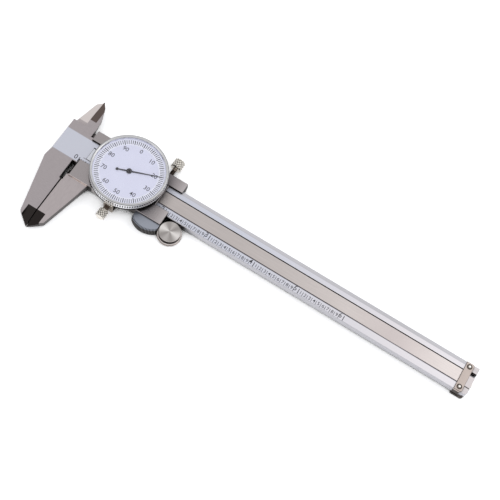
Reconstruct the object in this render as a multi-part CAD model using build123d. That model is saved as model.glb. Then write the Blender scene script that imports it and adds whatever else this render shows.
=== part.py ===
"""Six-inch dial caliper, in millimetres.

Inside the script X is 0 at the fixed jaw's measuring face and runs along the beam, Y is 0 on the
beam's centreline and points to the inside jaws, Z is 0 on the back that the caliper lies on.
Pieces of the slider are drawn with the jaws closed and then moved by the rest opening.
The written files have their origin on the dial's axis, in the plane of the back.
"""

from build123d import *

import math
import os

# Travel: the dial reads 20 divisions of a thousandth of an inch at rest
inch = 25.4
reading_length = 6 * inch
over_travel = 0.2
rest_opening = 0.020 * inch
full_opening = reading_length + over_travel

# Clearances, and how far a cut goes beyond the metal
slide_play = 0.05
running_play = 0.03
thread_play = 0.02
small_gap = 0.1
beyond = 1.0
edge_break = 0.2

# Heights of the slider's plates and of the beam
back_plate_thickness = 1.8
beam_thickness = 3.6
front_lip_thickness = 1.0
beam_back = back_plate_thickness + slide_play
beam_front = beam_back + beam_thickness
beam_middle = (beam_back + beam_front) / 2
lip_back = beam_front + slide_play
lip_front = lip_back + front_lip_thickness

# Beam
beam_width = 16.0
beam_past_travel = 70.2
beam_corner_radius = 2.0
beam_half = beam_width / 2
beam_end = full_opening + beam_past_travel

# Fixed head and outside jaws
head_width = 13.2
head_rise = 3.8
jaw_depth = 41.5
jaw_bulge = 0.7
jaw_bulge_drop = 5.0
jaw_foot_width = 6.2
jaw_foot_rise = 4.9
relief_length = 11.6
relief_depth = 0.8
moving_relief_depth = 0.4
moving_jaw_width = 12.8
moving_jaw_foot_width = 6.4
moving_jaw_foot_rise = 5.3
jaw_root_overlap = 3.0
tip_bevel_length = 9.6
tip_bevel_half_width = 4.65
tip_bevel_slope = math.radians(14)
head_left = -head_width
head_top = beam_half + head_rise
jaw_tip_y = -beam_half - jaw_depth
relief_end_y = -beam_half - relief_length
tip_bevel_start_y = jaw_tip_y + tip_bevel_length

# Inside jaws, which share the beam's thickness between them
inside_jaw_length = 17.4
inside_face_inset = 6.9
blade_gap = 0.1
fixed_blade_setback = 0.4
fixed_shoulder_setback = 0.6
fixed_shoulder_rise = 6.3
fixed_nose_width = 2.6
fixed_nose_drop = 3.4
moving_blade_inset = 0.3
moving_shoulder_inset = 0.9
moving_shoulder_rise = 1.9
moving_nose_width = 3.2
moving_nose_drop = 3.2
moving_arm_drop = 0.4
blade_bevel_rise = 4.1
blade_bevel_width = 3.6
blade_bevel_slope = math.radians(6)
inside_face_x = head_left + inside_face_inset
inside_tip_y = head_top + inside_jaw_length
blade_bevel_start_y = head_top + blade_bevel_rise

# Rack, its groove and its cover strip
groove_start = 4.4
groove_low = -3.94
slit_centre = 3.4
arbor_neck_radius = 0.2
slit_play = 0.075
cover_low_gap = 0.2
cover_thickness = 0.4
cover_sunk = 0.05
rack_thickness = 1.0
rack_teeth_pitch = inch / 40
pinion_teeth = 10
tooth_addendum = 0.8
tooth_dedendum = 1.05
wheel_tooth_tip = 0.11
wheel_tooth_root = 0.30
rack_tooth_tip = 0.09
rack_tooth_root = 0.28
spare_teeth = 4
rack_pin_radius = 0.5
rack_pin_inset = 2.0
rack_pin_y = -2.8
cover_top = beam_front - cover_sunk
rack_top = cover_top - cover_thickness
rack_bottom = rack_top - rack_thickness
pinion_bottom = rack_bottom + slide_play
pinion_top = rack_top - 2 * slide_play
slit_low = slit_centre - arbor_neck_radius - slit_play
slit_high = slit_centre + arbor_neck_radius + slit_play
cover_low = groove_low + cover_low_gap
pinion_radius = pinion_teeth * rack_teeth_pitch / math.tau
pinion_module = rack_teeth_pitch / math.pi
rack_line = slit_centre - pinion_radius
rack_tip = rack_line + tooth_addendum * pinion_module
rack_root = rack_line - tooth_dedendum * pinion_module
pinion_room = slit_centre + pinion_radius + pinion_module + small_gap

# Cross-plate, rivets and rear block at the beam's end
bridge_length = 4.1
bridge_overhang = 2.9
bridge_thickness = 0.8
bridge_leg_drop = 2.6
bridge_leg_thickness = 0.45
bridge_leg_length = 3.3
bridge_leg_top = 0.5
bridge_corner_radius = 0.8
rivet_radius = 0.75
rivet_head_radius = 1.1
rivet_head_height = 0.7
rivet_inset = 2.2
block_side_proud = 0.6
block_end_inset = 0.4
block_corner_radius = 1.5
block_ridges = 4
block_ridge_pitch = 0.9
bridge_start = beam_end - bridge_overhang - bridge_length
bridge_top = beam_front + bridge_thickness
rivet_x = bridge_start + bridge_length / 2
rivet_y = beam_half - rivet_inset
rivet_places = ((rivet_x, -rivet_y), (rivet_x, rivet_y))
rack_pin_places = ((groove_start + rack_pin_inset, rack_pin_y), (rivet_x, rack_pin_y))

# Dial's place on the slider, and the slider's ends
dial_x = 26.5
slider_past_dial = 27.0
slider_right = dial_x + slider_past_dial
upper_left = 0.7
lower_left = 1.5

# Gib above the beam, rails and front lips
gib_thickness = 1.0
gib_end_gap = 2.3
set_screw_radius = 1.0
set_screw_slot_depth = 0.7
upper_rail_width = 3.3
lower_rail_width = 5.95
jaw_root_drop = 2.2
upper_lip_overlap = 1.6
lower_lip_overlap = 2.0
gib_screw_left = 14.5
gib_screw_right = 7.5
gib_screw_places = (dial_x - gib_screw_left, dial_x + gib_screw_right)
gib_low = beam_half + slide_play
gib_high = gib_low + gib_thickness
rail_high = gib_high + slide_play
rail_low = -beam_half - slide_play
slider_top = rail_high + upper_rail_width
thumb_step_y = rail_low - lower_rail_width
slider_bottom = thumb_step_y - jaw_root_drop
upper_lip_y = beam_half - upper_lip_overlap
lower_lip_y = -beam_half + lower_lip_overlap

# Thumb rest
thumb_radius = 10.4
thumb_inset = 7.0
thumb_centre_drop = 2.0
thumb_step_inset = 22.0
thumb_rest_length = 13.8
thumb_ridges = 20
thumb_first_ridge = 231
thumb_last_ridge = 308
ridge_depth = 0.35
ridge_half_width = 0.21
thumb_centre = (slider_right - thumb_inset, -beam_half - thumb_centre_drop)
thumb_step_x = slider_right - thumb_step_inset

# Back plate and its screws
back_plate_lower_inset = 0.4
plate_screw_radius = 0.8
plate_screw_head_radius = 1.5
plate_screw_inset = 5.0
plate_corner_radius = 0.8
screw_sink = 0.05
slot_width = 0.4
back_plate_lower_y = thumb_step_y + back_plate_lower_inset

# Depth rod in the groove behind the beam
depth_groove_room = 0.15
depth_rod_half_width = 1.6
depth_rod_thickness = 1.2
depth_rod_inset = 9.1
depth_rod_end_gap = 1.0
depth_tip_length = 3.0
rod_pin_radius = 0.75
rod_pin_inset = 2.6
rod_pin_pitch = 3.5
depth_rod_start = slider_right - depth_rod_inset
depth_groove_start = depth_rod_start - depth_rod_end_gap
depth_groove_half = depth_rod_half_width + slide_play
rod_pin_right = slider_right - rod_pin_inset
rod_pin_places = (rod_pin_right - rod_pin_pitch, rod_pin_right)
rod_back = beam_back + small_gap
rod_front = rod_back + depth_rod_thickness
depth_groove_top = rod_front + depth_groove_room

# Thumb roller and its bracket
roller_slider_gap = 0.35
roller_knob_radius = 5.45
roller_knob_thickness = 0.9
roller_neck_radius = 4.7
roller_wheel_radius = 6.0
roller_wheel_thickness = 1.7
roller_flange_height = 0.25
roller_edge_break = 0.2
roller_gap = 0.15
roller_cap_thickness = 0.7
roller_axle_radius = 1.5
bracket_thickness = 0.8
bracket_arm_radius = 3.2
bracket_inset = 11.5
bracket_screw_drop = 1.6
bracket_screw_inset = 4.0
bracket_screw_pitch = 5.0
roller_flange_radius = roller_wheel_radius + roller_flange_height
roller_flange_front = beam_back - roller_gap
roller_wheel_front = roller_flange_front + roller_wheel_thickness
roller_front = beam_front - roller_gap
roller_bore_top = roller_front - roller_cap_thickness
roller_x = slider_right + roller_slider_gap + roller_knob_radius
roller_y = -beam_half - roller_wheel_radius - thread_play
roller_at = (roller_x, roller_y)
bracket_left = slider_right - bracket_inset
bracket_screw_y = thumb_step_y - bracket_screw_drop
bracket_screw_x = slider_right - bracket_screw_inset
bracket_screw_places = (
    (bracket_screw_x - bracket_screw_pitch, bracket_screw_y),
    (bracket_screw_x, bracket_screw_y),
)

# Slider lock screw
lock_inset = 10.4
lock_stem_radius = 1.15
lock_head_radius = 2.95
lock_head_rise = 4.9
lock_head_length = 5.0
lock_pad_length = 0.7
head_edge_break = 0.35
lock_x = slider_right - lock_inset
lock_head_start = slider_top + lock_head_rise

# Case, bezel and the round pieces inside it
bezel_radius = 19.6
bezel_wall = 1.05
bezel_rim_width = 1.7
bezel_skirt_gap = 1.1
bezel_lip = 0.45
bezel_outer_slope = 0.6
bezel_inner_slope = 0.5
clamp_groove_depth = 0.5
clamp_groove_width = 0.7
clamp_groove_rise = 0.6
case_floor = 0.6
case_wall = 1.0
movement_plate_gap = 1.0
lip_bridge_inset = 2.0
lip_bridge_reach = 1.0
movement_plate_thickness = 0.6
bezel_bore = bezel_radius - bezel_wall
bezel_opening_radius = bezel_radius - bezel_rim_width
case_radius = bezel_bore - slide_play
case_inner_radius = case_radius - case_wall
movement_plate_radius = case_inner_radius - movement_plate_gap
lip_bridge_start = dial_x - case_radius + lip_bridge_inset
lip_bridge_end = dial_x + case_radius + lip_bridge_reach

# Gear train under the dial
gear_module = 0.14
drive_wheel_teeth = 48
intermediate_pinion_teeth = 32
intermediate_wheel_teeth = 50
centre_pinion_teeth = 30
train_lean = math.radians(74.6)
arbor_radius = 0.5
pivot_radius = 0.3
wheel_thickness = 0.2
lower_wheel_rise = 0.15
wheel_room = 0.35
bridge_room = 0.45
movement_bridge_thickness = 0.5
spring_outer_radius = 2.2
spring_inner_radius = 1.7
spring_thickness = 0.1
spring_opening = 1.0
pillar_radius = 0.9
pillar_room = 4.8
pillar_right = 3.5
pillar_half_span = 6.0
small_screw_radius = 0.6
small_head_radius = 1.0
small_head_height = 0.4
bridge_margin = 1.5
case_screw_inset = 0.8
movement_screw_inset = 2.0
arbor_hole_radius = 2 * arbor_radius + small_gap
gear_distance_lower = gear_module * (drive_wheel_teeth + intermediate_pinion_teeth) / 2
gear_distance_upper = gear_module * (intermediate_wheel_teeth + centre_pinion_teeth) / 2
intermediate_y = slit_centre - gear_distance_lower * math.sin(train_lean)
intermediate_x = dial_x - math.sqrt(gear_distance_upper**2 - intermediate_y**2)
drive_x = intermediate_x - gear_distance_lower * math.cos(train_lean)
drive_at = (drive_x, slit_centre)
intermediate_at = (intermediate_x, intermediate_y)
dial_at = (dial_x, 0)

# Heights in the dial, from the case's floor up to the bezel's front
dial_room = 0.2
dial_face_thickness = 0.3
spacer_thickness = 0.65
crystal_thickness = 0.65
retainer_thickness = 0.3
retainer_width = 0.8
case_bottom = lip_front
movement_floor = case_bottom + case_floor
movement_top = movement_floor + movement_plate_thickness
lower_wheel_bottom = movement_top + lower_wheel_rise
second_wheel_bottom = lower_wheel_bottom + wheel_thickness + slide_play
second_wheel_top = second_wheel_bottom + wheel_thickness
upper_wheel_bottom = second_wheel_top + wheel_room
upper_wheel_top = upper_wheel_bottom + wheel_thickness
movement_bridge_bottom = upper_wheel_top + bridge_room
movement_bridge_top = movement_bridge_bottom + movement_bridge_thickness
dial_bottom = movement_bridge_top + small_head_height + dial_room
dial_top = dial_bottom + dial_face_thickness
crystal_bottom = dial_top + spacer_thickness
crystal_top = crystal_bottom + crystal_thickness
bezel_front = crystal_top + bezel_lip
bezel_bottom = lip_front + bezel_skirt_gap
retainer_bottom = dial_bottom - retainer_thickness
case_top = retainer_bottom - small_gap

# Bezel lock screw and its clip
clamp_offset = 0.1
clamp_drop = 2.1
clamp_stem_radius = 1.0
clamp_head_radius = 2.5
clamp_head_length = 4.6
clamp_collar_radius = 1.4
clamp_collar_length = 1.4
clamp_screw_depth = 6.0
clamp_hole_end = 0.5
clip_gap = 0.15
clip_thickness = 0.6
clip_half_width = 2.6
clip_offset = 0.9
clamp_x = dial_x + clamp_offset
clamp_z = lip_front - clamp_drop
clip_face_y = -bezel_radius - clip_gap
clip_outer_y = clip_face_y - clip_thickness

# Pointer
pointer_tip_gap = 1.7
pointer_tail = 6.0
pointer_thickness = 0.15
pointer_hub_radius = 1.4
pointer_root_width = 0.8
pointer_tip_width = 0.2
pointer_tail_width = 0.5
pointer_tail_disc_radius = 0.75
pointer_hub_rise = 0.1
pointer_post_gap = 0.2
pointer_reading = 0.2
bezel_set_angle = 4.1
pointer_length = bezel_opening_radius - pointer_tip_gap


def slab(low, high):
    """Box between two opposite corners."""
    size = [b - a for a, b in zip(low, high)]
    centre = [(a + b) / 2 for a, b in zip(low, high)]
    return Pos(*centre) * Box(*size)


def plate(points, z_low, z_high):
    """Flat plate with a straight-sided outline."""
    outline = make_face(Polyline(*points, close=True))
    return Pos(0, 0, z_low) * extrude(outline, z_high - z_low, dir=(0, 0, 1))


def disc(radius, at, z_low, z_high):
    """Round piece standing on the XY plane's height z_low."""
    return Pos(at[0], at[1], (z_low + z_high) / 2) * Cylinder(radius, z_high - z_low)


def rod_along_y(radius, x, z, y_low, y_high):
    """Round piece whose axis lies along Y."""
    return Pos(x, (y_low + y_high) / 2, z) * Rot(90, 0, 0) * Cylinder(radius, y_high - y_low)


def cone_along_z(low_radius, high_radius, at, z_low, z_high):
    """Cone standing along Z, such as a countersunk head."""
    return Pos(at[0], at[1], (z_low + z_high) / 2) * Cone(low_radius, high_radius, z_high - z_low)


def turned(profile):
    """Solid of revolution about Z from (radius, z) points."""
    outline = Plane.XZ * make_face(Polyline(*profile, close=True))
    return revolve(outline, Axis.Z)


def prism_along_x(profile, x_low, x_high):
    """Solid along X from (y, z) points."""
    outline = Plane.YZ * make_face(Polyline(*profile, close=True))
    return Pos(x_low, 0, 0) * extrude(outline, x_high - x_low, dir=(1, 0, 0))


def broken_edges(part, length):
    """The part with the outline of its highest face broken."""
    top = part.faces().sort_by(Axis.Z)[-1]
    return chamfer(top.outer_wire().edges(), length)


def toothed_wheel(teeth, module, at, phase, z_low, z_high):
    """Straight-flanked wheel, with the middle of one tooth at the angle phase."""
    pitch_radius = teeth * module / 2
    tip = pitch_radius + tooth_addendum * module
    root = pitch_radius - tooth_dedendum * module
    step = math.tau / teeth
    flanks = (
        (root, -wheel_tooth_root),
        (tip, -wheel_tooth_tip),
        (tip, wheel_tooth_tip),
        (root, wheel_tooth_root),
    )
    points = []
    for tooth in range(teeth):
        for radius, share in flanks:
            angle = phase + (tooth + share) * step
            points.append((at[0] + radius * math.cos(angle), at[1] + radius * math.sin(angle)))
    return plate(points, z_low, z_high)


def tip_bevel():
    """Tool that grinds the measuring tips of both outside jaws down to a thin edge."""
    end = jaw_tip_y - beyond
    drop = (tip_bevel_start_y - end) * math.tan(tip_bevel_slope)
    profile = (
        (tip_bevel_start_y, beam_front),
        (tip_bevel_start_y, lip_front),
        (end, lip_front),
        (end, beam_front - drop),
    )
    return prism_along_x(profile, -tip_bevel_half_width, tip_bevel_half_width)


def blade_bevel(front, side):
    """Profile of the cut that thins an inside blade towards its tip, on its front or its rear."""
    end = inside_tip_y + beyond
    drop = side * (end - blade_bevel_start_y) * math.tan(blade_bevel_slope)
    outside = front + side * front_lip_thickness
    return (
        (blade_bevel_start_y, front),
        (blade_bevel_start_y, outside),
        (end, outside),
        (end, front - drop),
    )


def depth_groove():
    """Groove in the beam's back for the depth rod, open at the beam's end."""
    return slab(
        (depth_groove_start, -depth_groove_half, beam_back - beyond),
        (beam_end + beyond, depth_groove_half, depth_groove_top),
    )


def rack_groove():
    """Groove in the beam's front, wider under its upper lip where the pinion turns."""
    end = beam_end + beyond
    front = slab((groove_start, groove_low, rack_bottom), (end, slit_high, beam_front + beyond))
    under_lip = slab((groove_start, slit_high, rack_bottom), (end, pinion_room, rack_top))
    return front + under_lip


def main_beam():
    """Beam, fixed outside jaw and fixed inside blade, ground from one bar."""
    blade_right = -fixed_blade_setback
    outline = (
        (head_left, head_top),
        (head_left, -beam_half),
        (head_left - jaw_bulge, -beam_half - jaw_bulge_drop),
        (-jaw_foot_width, jaw_tip_y + jaw_foot_rise),
        (0, jaw_tip_y),
        (0, relief_end_y),
        (-relief_depth, relief_end_y),
        (-relief_depth, -beam_half),
        (beam_end, -beam_half),
        (beam_end, beam_half),
        (blade_right, beam_half),
        (blade_right, head_top),
        (blade_right - fixed_shoulder_setback, head_top + fixed_shoulder_rise),
        (inside_face_x + fixed_nose_width, inside_tip_y - fixed_nose_drop),
        (inside_face_x, inside_tip_y),
        (inside_face_x, head_top),
    )
    beam = plate(outline, beam_back, beam_front)
    corner = beam.edges().filter_by(Axis.Z).sort_by(Axis.X)[-2:].sort_by(Axis.Y)[0]
    beam = fillet(corner, beam_corner_radius)
    beam = broken_edges(beam, edge_break)
    arm_room = slab(
        (head_left - beyond, beam_half, beam_back - beyond),
        (beyond, inside_tip_y + beyond, beam_middle + blade_gap / 2),
    )
    front_bevel = prism_along_x(
        blade_bevel(beam_front, 1), inside_face_x - beyond, inside_face_x + blade_bevel_width
    )
    beam = beam - arm_room - front_bevel - tip_bevel() - rack_groove() - depth_groove()
    for place in rivet_places:
        beam -= disc(rivet_radius, place, 0, lip_front)
    for place in rack_pin_places:
        beam -= disc(rack_pin_radius, place, 0, beam_front)
    return beam


def rack_bar():
    """Toothed bar in the front groove, thicker at its bare end."""
    first_gap = rest_opening + drive_x
    start = groove_start + small_gap
    end = beam_end - small_gap
    tooth_count = math.ceil((full_opening + 2 * pinion_radius) / rack_teeth_pitch)
    flanks = (
        (rack_root, -rack_tooth_root),
        (rack_tip, -rack_tooth_tip),
        (rack_tip, rack_tooth_tip),
        (rack_root, rack_tooth_root),
    )
    points = [(start, groove_low), (start, rack_root)]
    for tooth in range(-spare_teeth, tooth_count):
        for y, share in flanks:
            points.append((first_gap + (tooth + 0.5 + share) * rack_teeth_pitch, y))
    points += [(end, rack_root), (end, groove_low)]
    bar = plate(points, rack_bottom, rack_top)
    bar += slab((bridge_start, groove_low, rack_top), (end, rack_root, cover_top))
    for place in rack_pin_places:
        bar -= disc(rack_pin_radius, place, 0, beam_front)
    return bar


def rack_cover_strip():
    """Thin brushed strip over the rack, with the pinion's slit along its upper edge."""
    return slab(
        (groove_start + small_gap, cover_low, rack_top),
        (bridge_start, slit_low, cover_top),
    )


def rack_pins():
    """Two dowels that locate the rack bar in the beam."""
    covered, bare = rack_pin_places
    return [
        disc(rack_pin_radius, covered, beam_back, rack_top),
        disc(rack_pin_radius, bare, beam_back, cover_top),
    ]


def end_bridge_plate():
    """Cross-plate over the beam's end, its lower leg bent down over the beam's edge."""
    cross = slab(
        (bridge_start, -beam_half + small_gap, beam_front),
        (bridge_start + bridge_length, beam_half - small_gap, bridge_top),
    )
    right_corners = cross.edges().filter_by(Axis.Z).group_by(Axis.X)[-1]
    cross = fillet(right_corners, bridge_corner_radius)
    cross = broken_edges(cross, edge_break)
    leg_end = bridge_start + bridge_leg_length
    leg_top = beam_front + bridge_leg_top
    leg = slab(
        (bridge_start, -beam_half - bridge_leg_thickness, beam_front - bridge_leg_drop),
        (leg_end, -beam_half, leg_top),
    )
    root = slab((bridge_start, -beam_half, beam_front), (leg_end, -beam_half + 2 * small_gap, leg_top))
    cross = cross + leg + root
    for place in rivet_places:
        cross -= disc(rivet_radius, place, 0, lip_front)
    return cross


def end_rivets():
    """Two round-head rivets through cross-plate, beam and rear block."""
    dome_radius = (rivet_head_radius**2 + rivet_head_height**2) / (2 * rivet_head_height)
    rivets = []
    for place in rivet_places:
        shank = disc(rivet_radius, place, screw_sink, bridge_top)
        dome = Pos(*place, bridge_top + rivet_head_height - dome_radius) * Sphere(dome_radius)
        head = dome & disc(rivet_head_radius + beyond, place, bridge_top, bridge_top + dome_radius)
        rivets.append(shank + head)
    return rivets


def rear_end_block():
    """Serrated block that closes the depth-rod groove at the beam's end."""
    low = -beam_half - block_side_proud
    block = slab(
        (bridge_start, low, 0),
        (beam_end - block_end_inset, beam_half - small_gap, beam_back),
    )
    right_corners = block.edges().filter_by(Axis.Z).group_by(Axis.X)[-1]
    block = fillet(right_corners, block_corner_radius)
    for index in range(block_ridges):
        x = bridge_start + (index + 1) * block_ridge_pitch
        notch = (
            (x - ridge_half_width, low - small_gap),
            (x + ridge_half_width, low - small_gap),
            (x, low + ridge_depth),
        )
        block -= plate(notch, -beyond, beam_front)
    for place in rivet_places:
        block -= disc(rivet_radius, place, -beyond, lip_front)
    return block


def thumb_rest():
    """Round lower edge of the slider that the thumb pushes, with upright ridges."""
    rest = disc(thumb_radius, thumb_centre, bracket_thickness + slide_play, beam_front)
    keep = slab(
        (slider_right - thumb_rest_length, thumb_centre[1] - thumb_radius - beyond, 0),
        (slider_right, thumb_step_y, lip_front),
    )
    rest = rest & keep
    outside = thumb_radius + small_gap
    notch = plate(
        ((outside, -ridge_half_width), (outside, ridge_half_width), (thumb_radius - ridge_depth, 0)),
        0,
        lip_front,
    )
    step = (thumb_last_ridge - thumb_first_ridge) / (thumb_ridges - 1)
    for index in range(thumb_ridges):
        rest -= Pos(*thumb_centre, 0) * Rot(0, 0, thumb_first_ridge + index * step) * notch
    return rest


def moving_jaw():
    """Outside jaw of the slider, level with the beam's front."""
    outline = (
        (0, relief_end_y),
        (0, jaw_tip_y),
        (moving_jaw_foot_width, jaw_tip_y + moving_jaw_foot_rise),
        (moving_jaw_width, slider_bottom),
        (moving_jaw_width, slider_bottom + jaw_root_overlap),
        (moving_relief_depth, slider_bottom + jaw_root_overlap),
        (moving_relief_depth, relief_end_y),
    )
    jaw = plate(outline, beam_back, beam_front)
    jaw = broken_edges(jaw, edge_break)
    return jaw - tip_bevel()


def moving_blade():
    """Inside blade of the slider and its arm, behind the fixed head."""
    front = beam_middle - blade_gap / 2
    arm_top = head_top - moving_arm_drop
    arm_left = head_left + moving_blade_inset
    outline = (
        (gib_end_gap, gib_low),
        (gib_end_gap, arm_top),
        (inside_face_x, arm_top),
        (inside_face_x, inside_tip_y),
        (inside_face_x - moving_nose_width, inside_tip_y - moving_nose_drop),
        (head_left + moving_shoulder_inset, head_top + moving_shoulder_rise),
        (arm_left, arm_top),
        (arm_left, gib_low),
    )
    blade = plate(outline, beam_back, front)
    rear_bevel = prism_along_x(
        blade_bevel(beam_back, -1), inside_face_x - blade_bevel_width, inside_face_x + beyond
    )
    return blade - rear_bevel


def slider_body():
    """Slider: rails above and below the beam, front lips, jaw, blade and thumb rest."""
    upper = slab(
        (upper_left, upper_lip_y, back_plate_thickness), (slider_right, slider_top, lip_front)
    )
    lower_long = slab(
        (lower_left, thumb_step_y, back_plate_thickness), (slider_right, lower_lip_y, lip_front)
    )
    lower_deep = slab(
        (lower_left, slider_bottom, back_plate_thickness), (thumb_step_x, thumb_step_y, lip_front)
    )
    across = slab((lip_bridge_start, lower_lip_y, lip_back), (lip_bridge_end, upper_lip_y, lip_front))
    body = broken_edges(upper + lower_long + lower_deep + across, edge_break)
    channel = slab(
        (upper_left - beyond, rail_low, 0), (slider_right + beyond, rail_high, lip_back)
    )
    body = body - channel + moving_jaw() + moving_blade() + thumb_rest()
    body -= disc(arbor_hole_radius, drive_at, beam_front, lip_front + beyond)
    above = slider_top + beyond
    for x in gib_screw_places:
        body -= rod_along_y(set_screw_radius + thread_play, x, beam_middle, gib_low, above)
    body -= rod_along_y(lock_stem_radius + thread_play, lock_x, beam_middle, gib_low, above)
    clamp_hole_top = slider_bottom + clamp_screw_depth + clamp_hole_end
    clamp_hole_radius = clamp_stem_radius + thread_play
    body -= rod_along_y(clamp_hole_radius, clamp_x, clamp_z, slider_bottom - beyond, clamp_hole_top)
    for place in plate_screw_places():
        body -= disc(plate_screw_radius + thread_play, place, 0, lip_back - small_gap)
    for place in case_screw_places():
        body -= disc(small_screw_radius, place, lip_back, lip_front + beyond)
    for place in bracket_screw_places:
        body -= disc(small_screw_radius, place, 0, beam_middle)
    return body - roller_room()


def plate_screw_places():
    """Four places near the corners of the back plate, in the middle of the rails."""
    columns = (lower_left + plate_screw_inset, slider_right - plate_screw_inset)
    rows = ((rail_high + slider_top) / 2, (rail_low + back_plate_lower_y) / 2)
    return [(x, y) for x in columns for y in rows]


def case_screw_places():
    """Three places where the case is held to the slider."""
    return polar_places(slider_top - case_screw_inset, 90, 3)


def movement_screw_places():
    """Three places where the movement plate is held to the case."""
    return polar_places(movement_plate_radius - movement_screw_inset, 60, 3)


def polar_places(radius, first_angle, count):
    """Evenly spaced places on a circle about the dial's axis."""
    places = []
    for index in range(count):
        angle = math.radians(first_angle + 360 * index / count)
        places.append((dial_x + radius * math.cos(angle), radius * math.sin(angle)))
    return places


def gib_strip():
    """Brass strip that takes up the play above the beam."""
    return slab(
        (upper_left + gib_end_gap, gib_low, beam_back + small_gap),
        (slider_right - gib_end_gap, gib_high, beam_front - small_gap),
    )


def gib_screws():
    """Two slotted set screws that bear on the gib."""
    screws = []
    for x in gib_screw_places:
        top = slider_top - small_gap
        screw = rod_along_y(set_screw_radius, x, beam_middle, gib_high, top)
        slot = slab(
            (x - set_screw_radius, top - set_screw_slot_depth, beam_middle - slot_width / 2),
            (x + set_screw_radius, slider_top, beam_middle + slot_width / 2),
        )
        screws.append(screw - slot)
    return screws


def lock_pad():
    """Soft brass pad between the lock screw and the gib."""
    pad_end = gib_high + lock_pad_length
    return rod_along_y(lock_stem_radius - thread_play, lock_x, beam_middle, gib_high, pad_end)


def slider_lock_screw():
    """Knurled screw on the slider's upper edge."""
    stem_start = gib_high + lock_pad_length + slide_play
    stem = rod_along_y(lock_stem_radius, lock_x, beam_middle, stem_start, lock_head_start)
    head_end = lock_head_start + lock_head_length
    head = rod_along_y(lock_head_radius, lock_x, beam_middle, lock_head_start, head_end)
    head = chamfer(head.edges(), head_edge_break)
    return stem + head


def back_plate():
    """Plate that closes the slider behind the beam; the caliper lies on it."""
    cover = slab(
        (lower_left, back_plate_lower_y, 0),
        (slider_right, slider_top - small_gap, back_plate_thickness),
    )
    cover = fillet(cover.edges().filter_by(Axis.Z), plate_corner_radius)
    for place in plate_screw_places():
        cover -= disc(plate_screw_radius + thread_play, place, -beyond, beam_back)
        cover -= countersink(place, thread_play)
    for x in rod_pin_places:
        cover -= disc(rod_pin_radius, (x, 0), -beyond, beam_back)
    return cover - roller_room()


def countersink(place, play):
    """Cone of a countersunk head in the back plate, its flat just under the back."""
    depth = plate_screw_head_radius - plate_screw_radius
    wide = plate_screw_head_radius + play
    head = cone_along_z(wide, plate_screw_radius + play, place, screw_sink, screw_sink + depth)
    if play:
        head += disc(wide, place, -beyond, screw_sink)
    return head


def back_plate_screws():
    """Four countersunk screws through the back plate into the rails."""
    screws = []
    for place in plate_screw_places():
        shank = disc(plate_screw_radius, place, screw_sink, lip_back - 4 * small_gap)
        screw = shank + countersink(place, 0)
        x, y = place
        slot = slab(
            (x - plate_screw_head_radius, y - slot_width / 2, 0),
            (x + plate_screw_head_radius, y + slot_width / 2, screw_sink + slot_width),
        )
        screws.append(screw - slot)
    return screws


def depth_rod():
    """Flat rod behind the beam that comes out of its end as the jaws open."""
    rod = slab(
        (depth_rod_start, -depth_rod_half_width, rod_back), (beam_end, depth_rod_half_width, rod_front)
    )
    rod -= slab(
        (beam_end - depth_tip_length, depth_rod_half_width / 4, 0),
        (beam_end + beyond, beam_half, beam_front),
    )
    for x in rod_pin_places:
        rod -= disc(rod_pin_radius, (x, 0), 0, beam_front)
    return rod


def depth_rod_pins():
    """Two pins that hold the depth rod to the back plate."""
    return [disc(rod_pin_radius, (x, 0), screw_sink, rod_front) for x in rod_pin_places]


def roller_bracket():
    """Sheet arm behind the thumb roller, let in under the thumb rest."""
    low = thumb_step_y - bracket_arm_radius
    arm = slab((bracket_left, low, screw_sink), (slider_right, thumb_step_y, bracket_thickness))
    reach = slab(
        (slider_right, roller_y - bracket_arm_radius, screw_sink),
        (roller_x, roller_y + bracket_arm_radius, bracket_thickness),
    )
    eye = disc(bracket_arm_radius, roller_at, screw_sink, bracket_thickness)
    sheet = arm + reach + eye
    sheet -= disc(roller_axle_radius, roller_at, 0, beam_back)
    for place in bracket_screw_places:
        sheet -= disc(small_screw_radius, place, 0, beam_back)
    return sheet


def bracket_screws():
    """Two flush screws that hold the bracket."""
    return [disc(small_screw_radius, place, screw_sink, beam_middle) for place in bracket_screw_places]


def roller_axle():
    """Fixed axle of the thumb roller."""
    return disc(roller_axle_radius, roller_at, screw_sink, roller_bore_top - roller_gap)


def roller_room():
    """Space that the slider and its back plate leave for the roller's wheel and flange."""
    return disc(roller_flange_radius + roller_gap, roller_at, -beyond, roller_wheel_front + roller_gap)


def thumb_roller():
    """Turned roller: a wheel that rolls on the beam's lower edge, a flange behind the beam, a knob."""
    flange_low = bracket_thickness + roller_gap
    knob_low = roller_front - roller_knob_thickness
    bore = roller_axle_radius + running_play
    rim = roller_edge_break
    profile = (
        (bore, flange_low),
        (roller_flange_radius - rim, flange_low),
        (roller_flange_radius, flange_low + rim),
        (roller_flange_radius, roller_flange_front),
        (roller_wheel_radius, roller_flange_front),
        (roller_wheel_radius, roller_wheel_front),
        (roller_neck_radius, roller_wheel_front),
        (roller_neck_radius, knob_low),
        (roller_knob_radius, knob_low),
        (roller_knob_radius, roller_front - rim),
        (roller_knob_radius - rim, roller_front),
        (0, roller_front),
        (0, roller_bore_top),
        (bore, roller_bore_top),
    )
    return Pos(roller_x, roller_y, 0) * turned(profile)


def dial_case():
    """Round case that carries the gear train and the turning bezel."""
    cup = disc(case_radius, dial_at, case_bottom, case_top)
    cup -= disc(case_inner_radius, dial_at, movement_floor, case_top + beyond)
    cup -= disc(arbor_hole_radius, drive_at, 0, case_top)
    for place in case_screw_places() + movement_screw_places():
        cup -= disc(small_screw_radius, place, 0, case_top)
    return cup


def case_screws():
    """Three headless screws that hold the case to the slider, flush with its floor."""
    return [disc(small_screw_radius, place, lip_back, movement_floor) for place in case_screw_places()]


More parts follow.
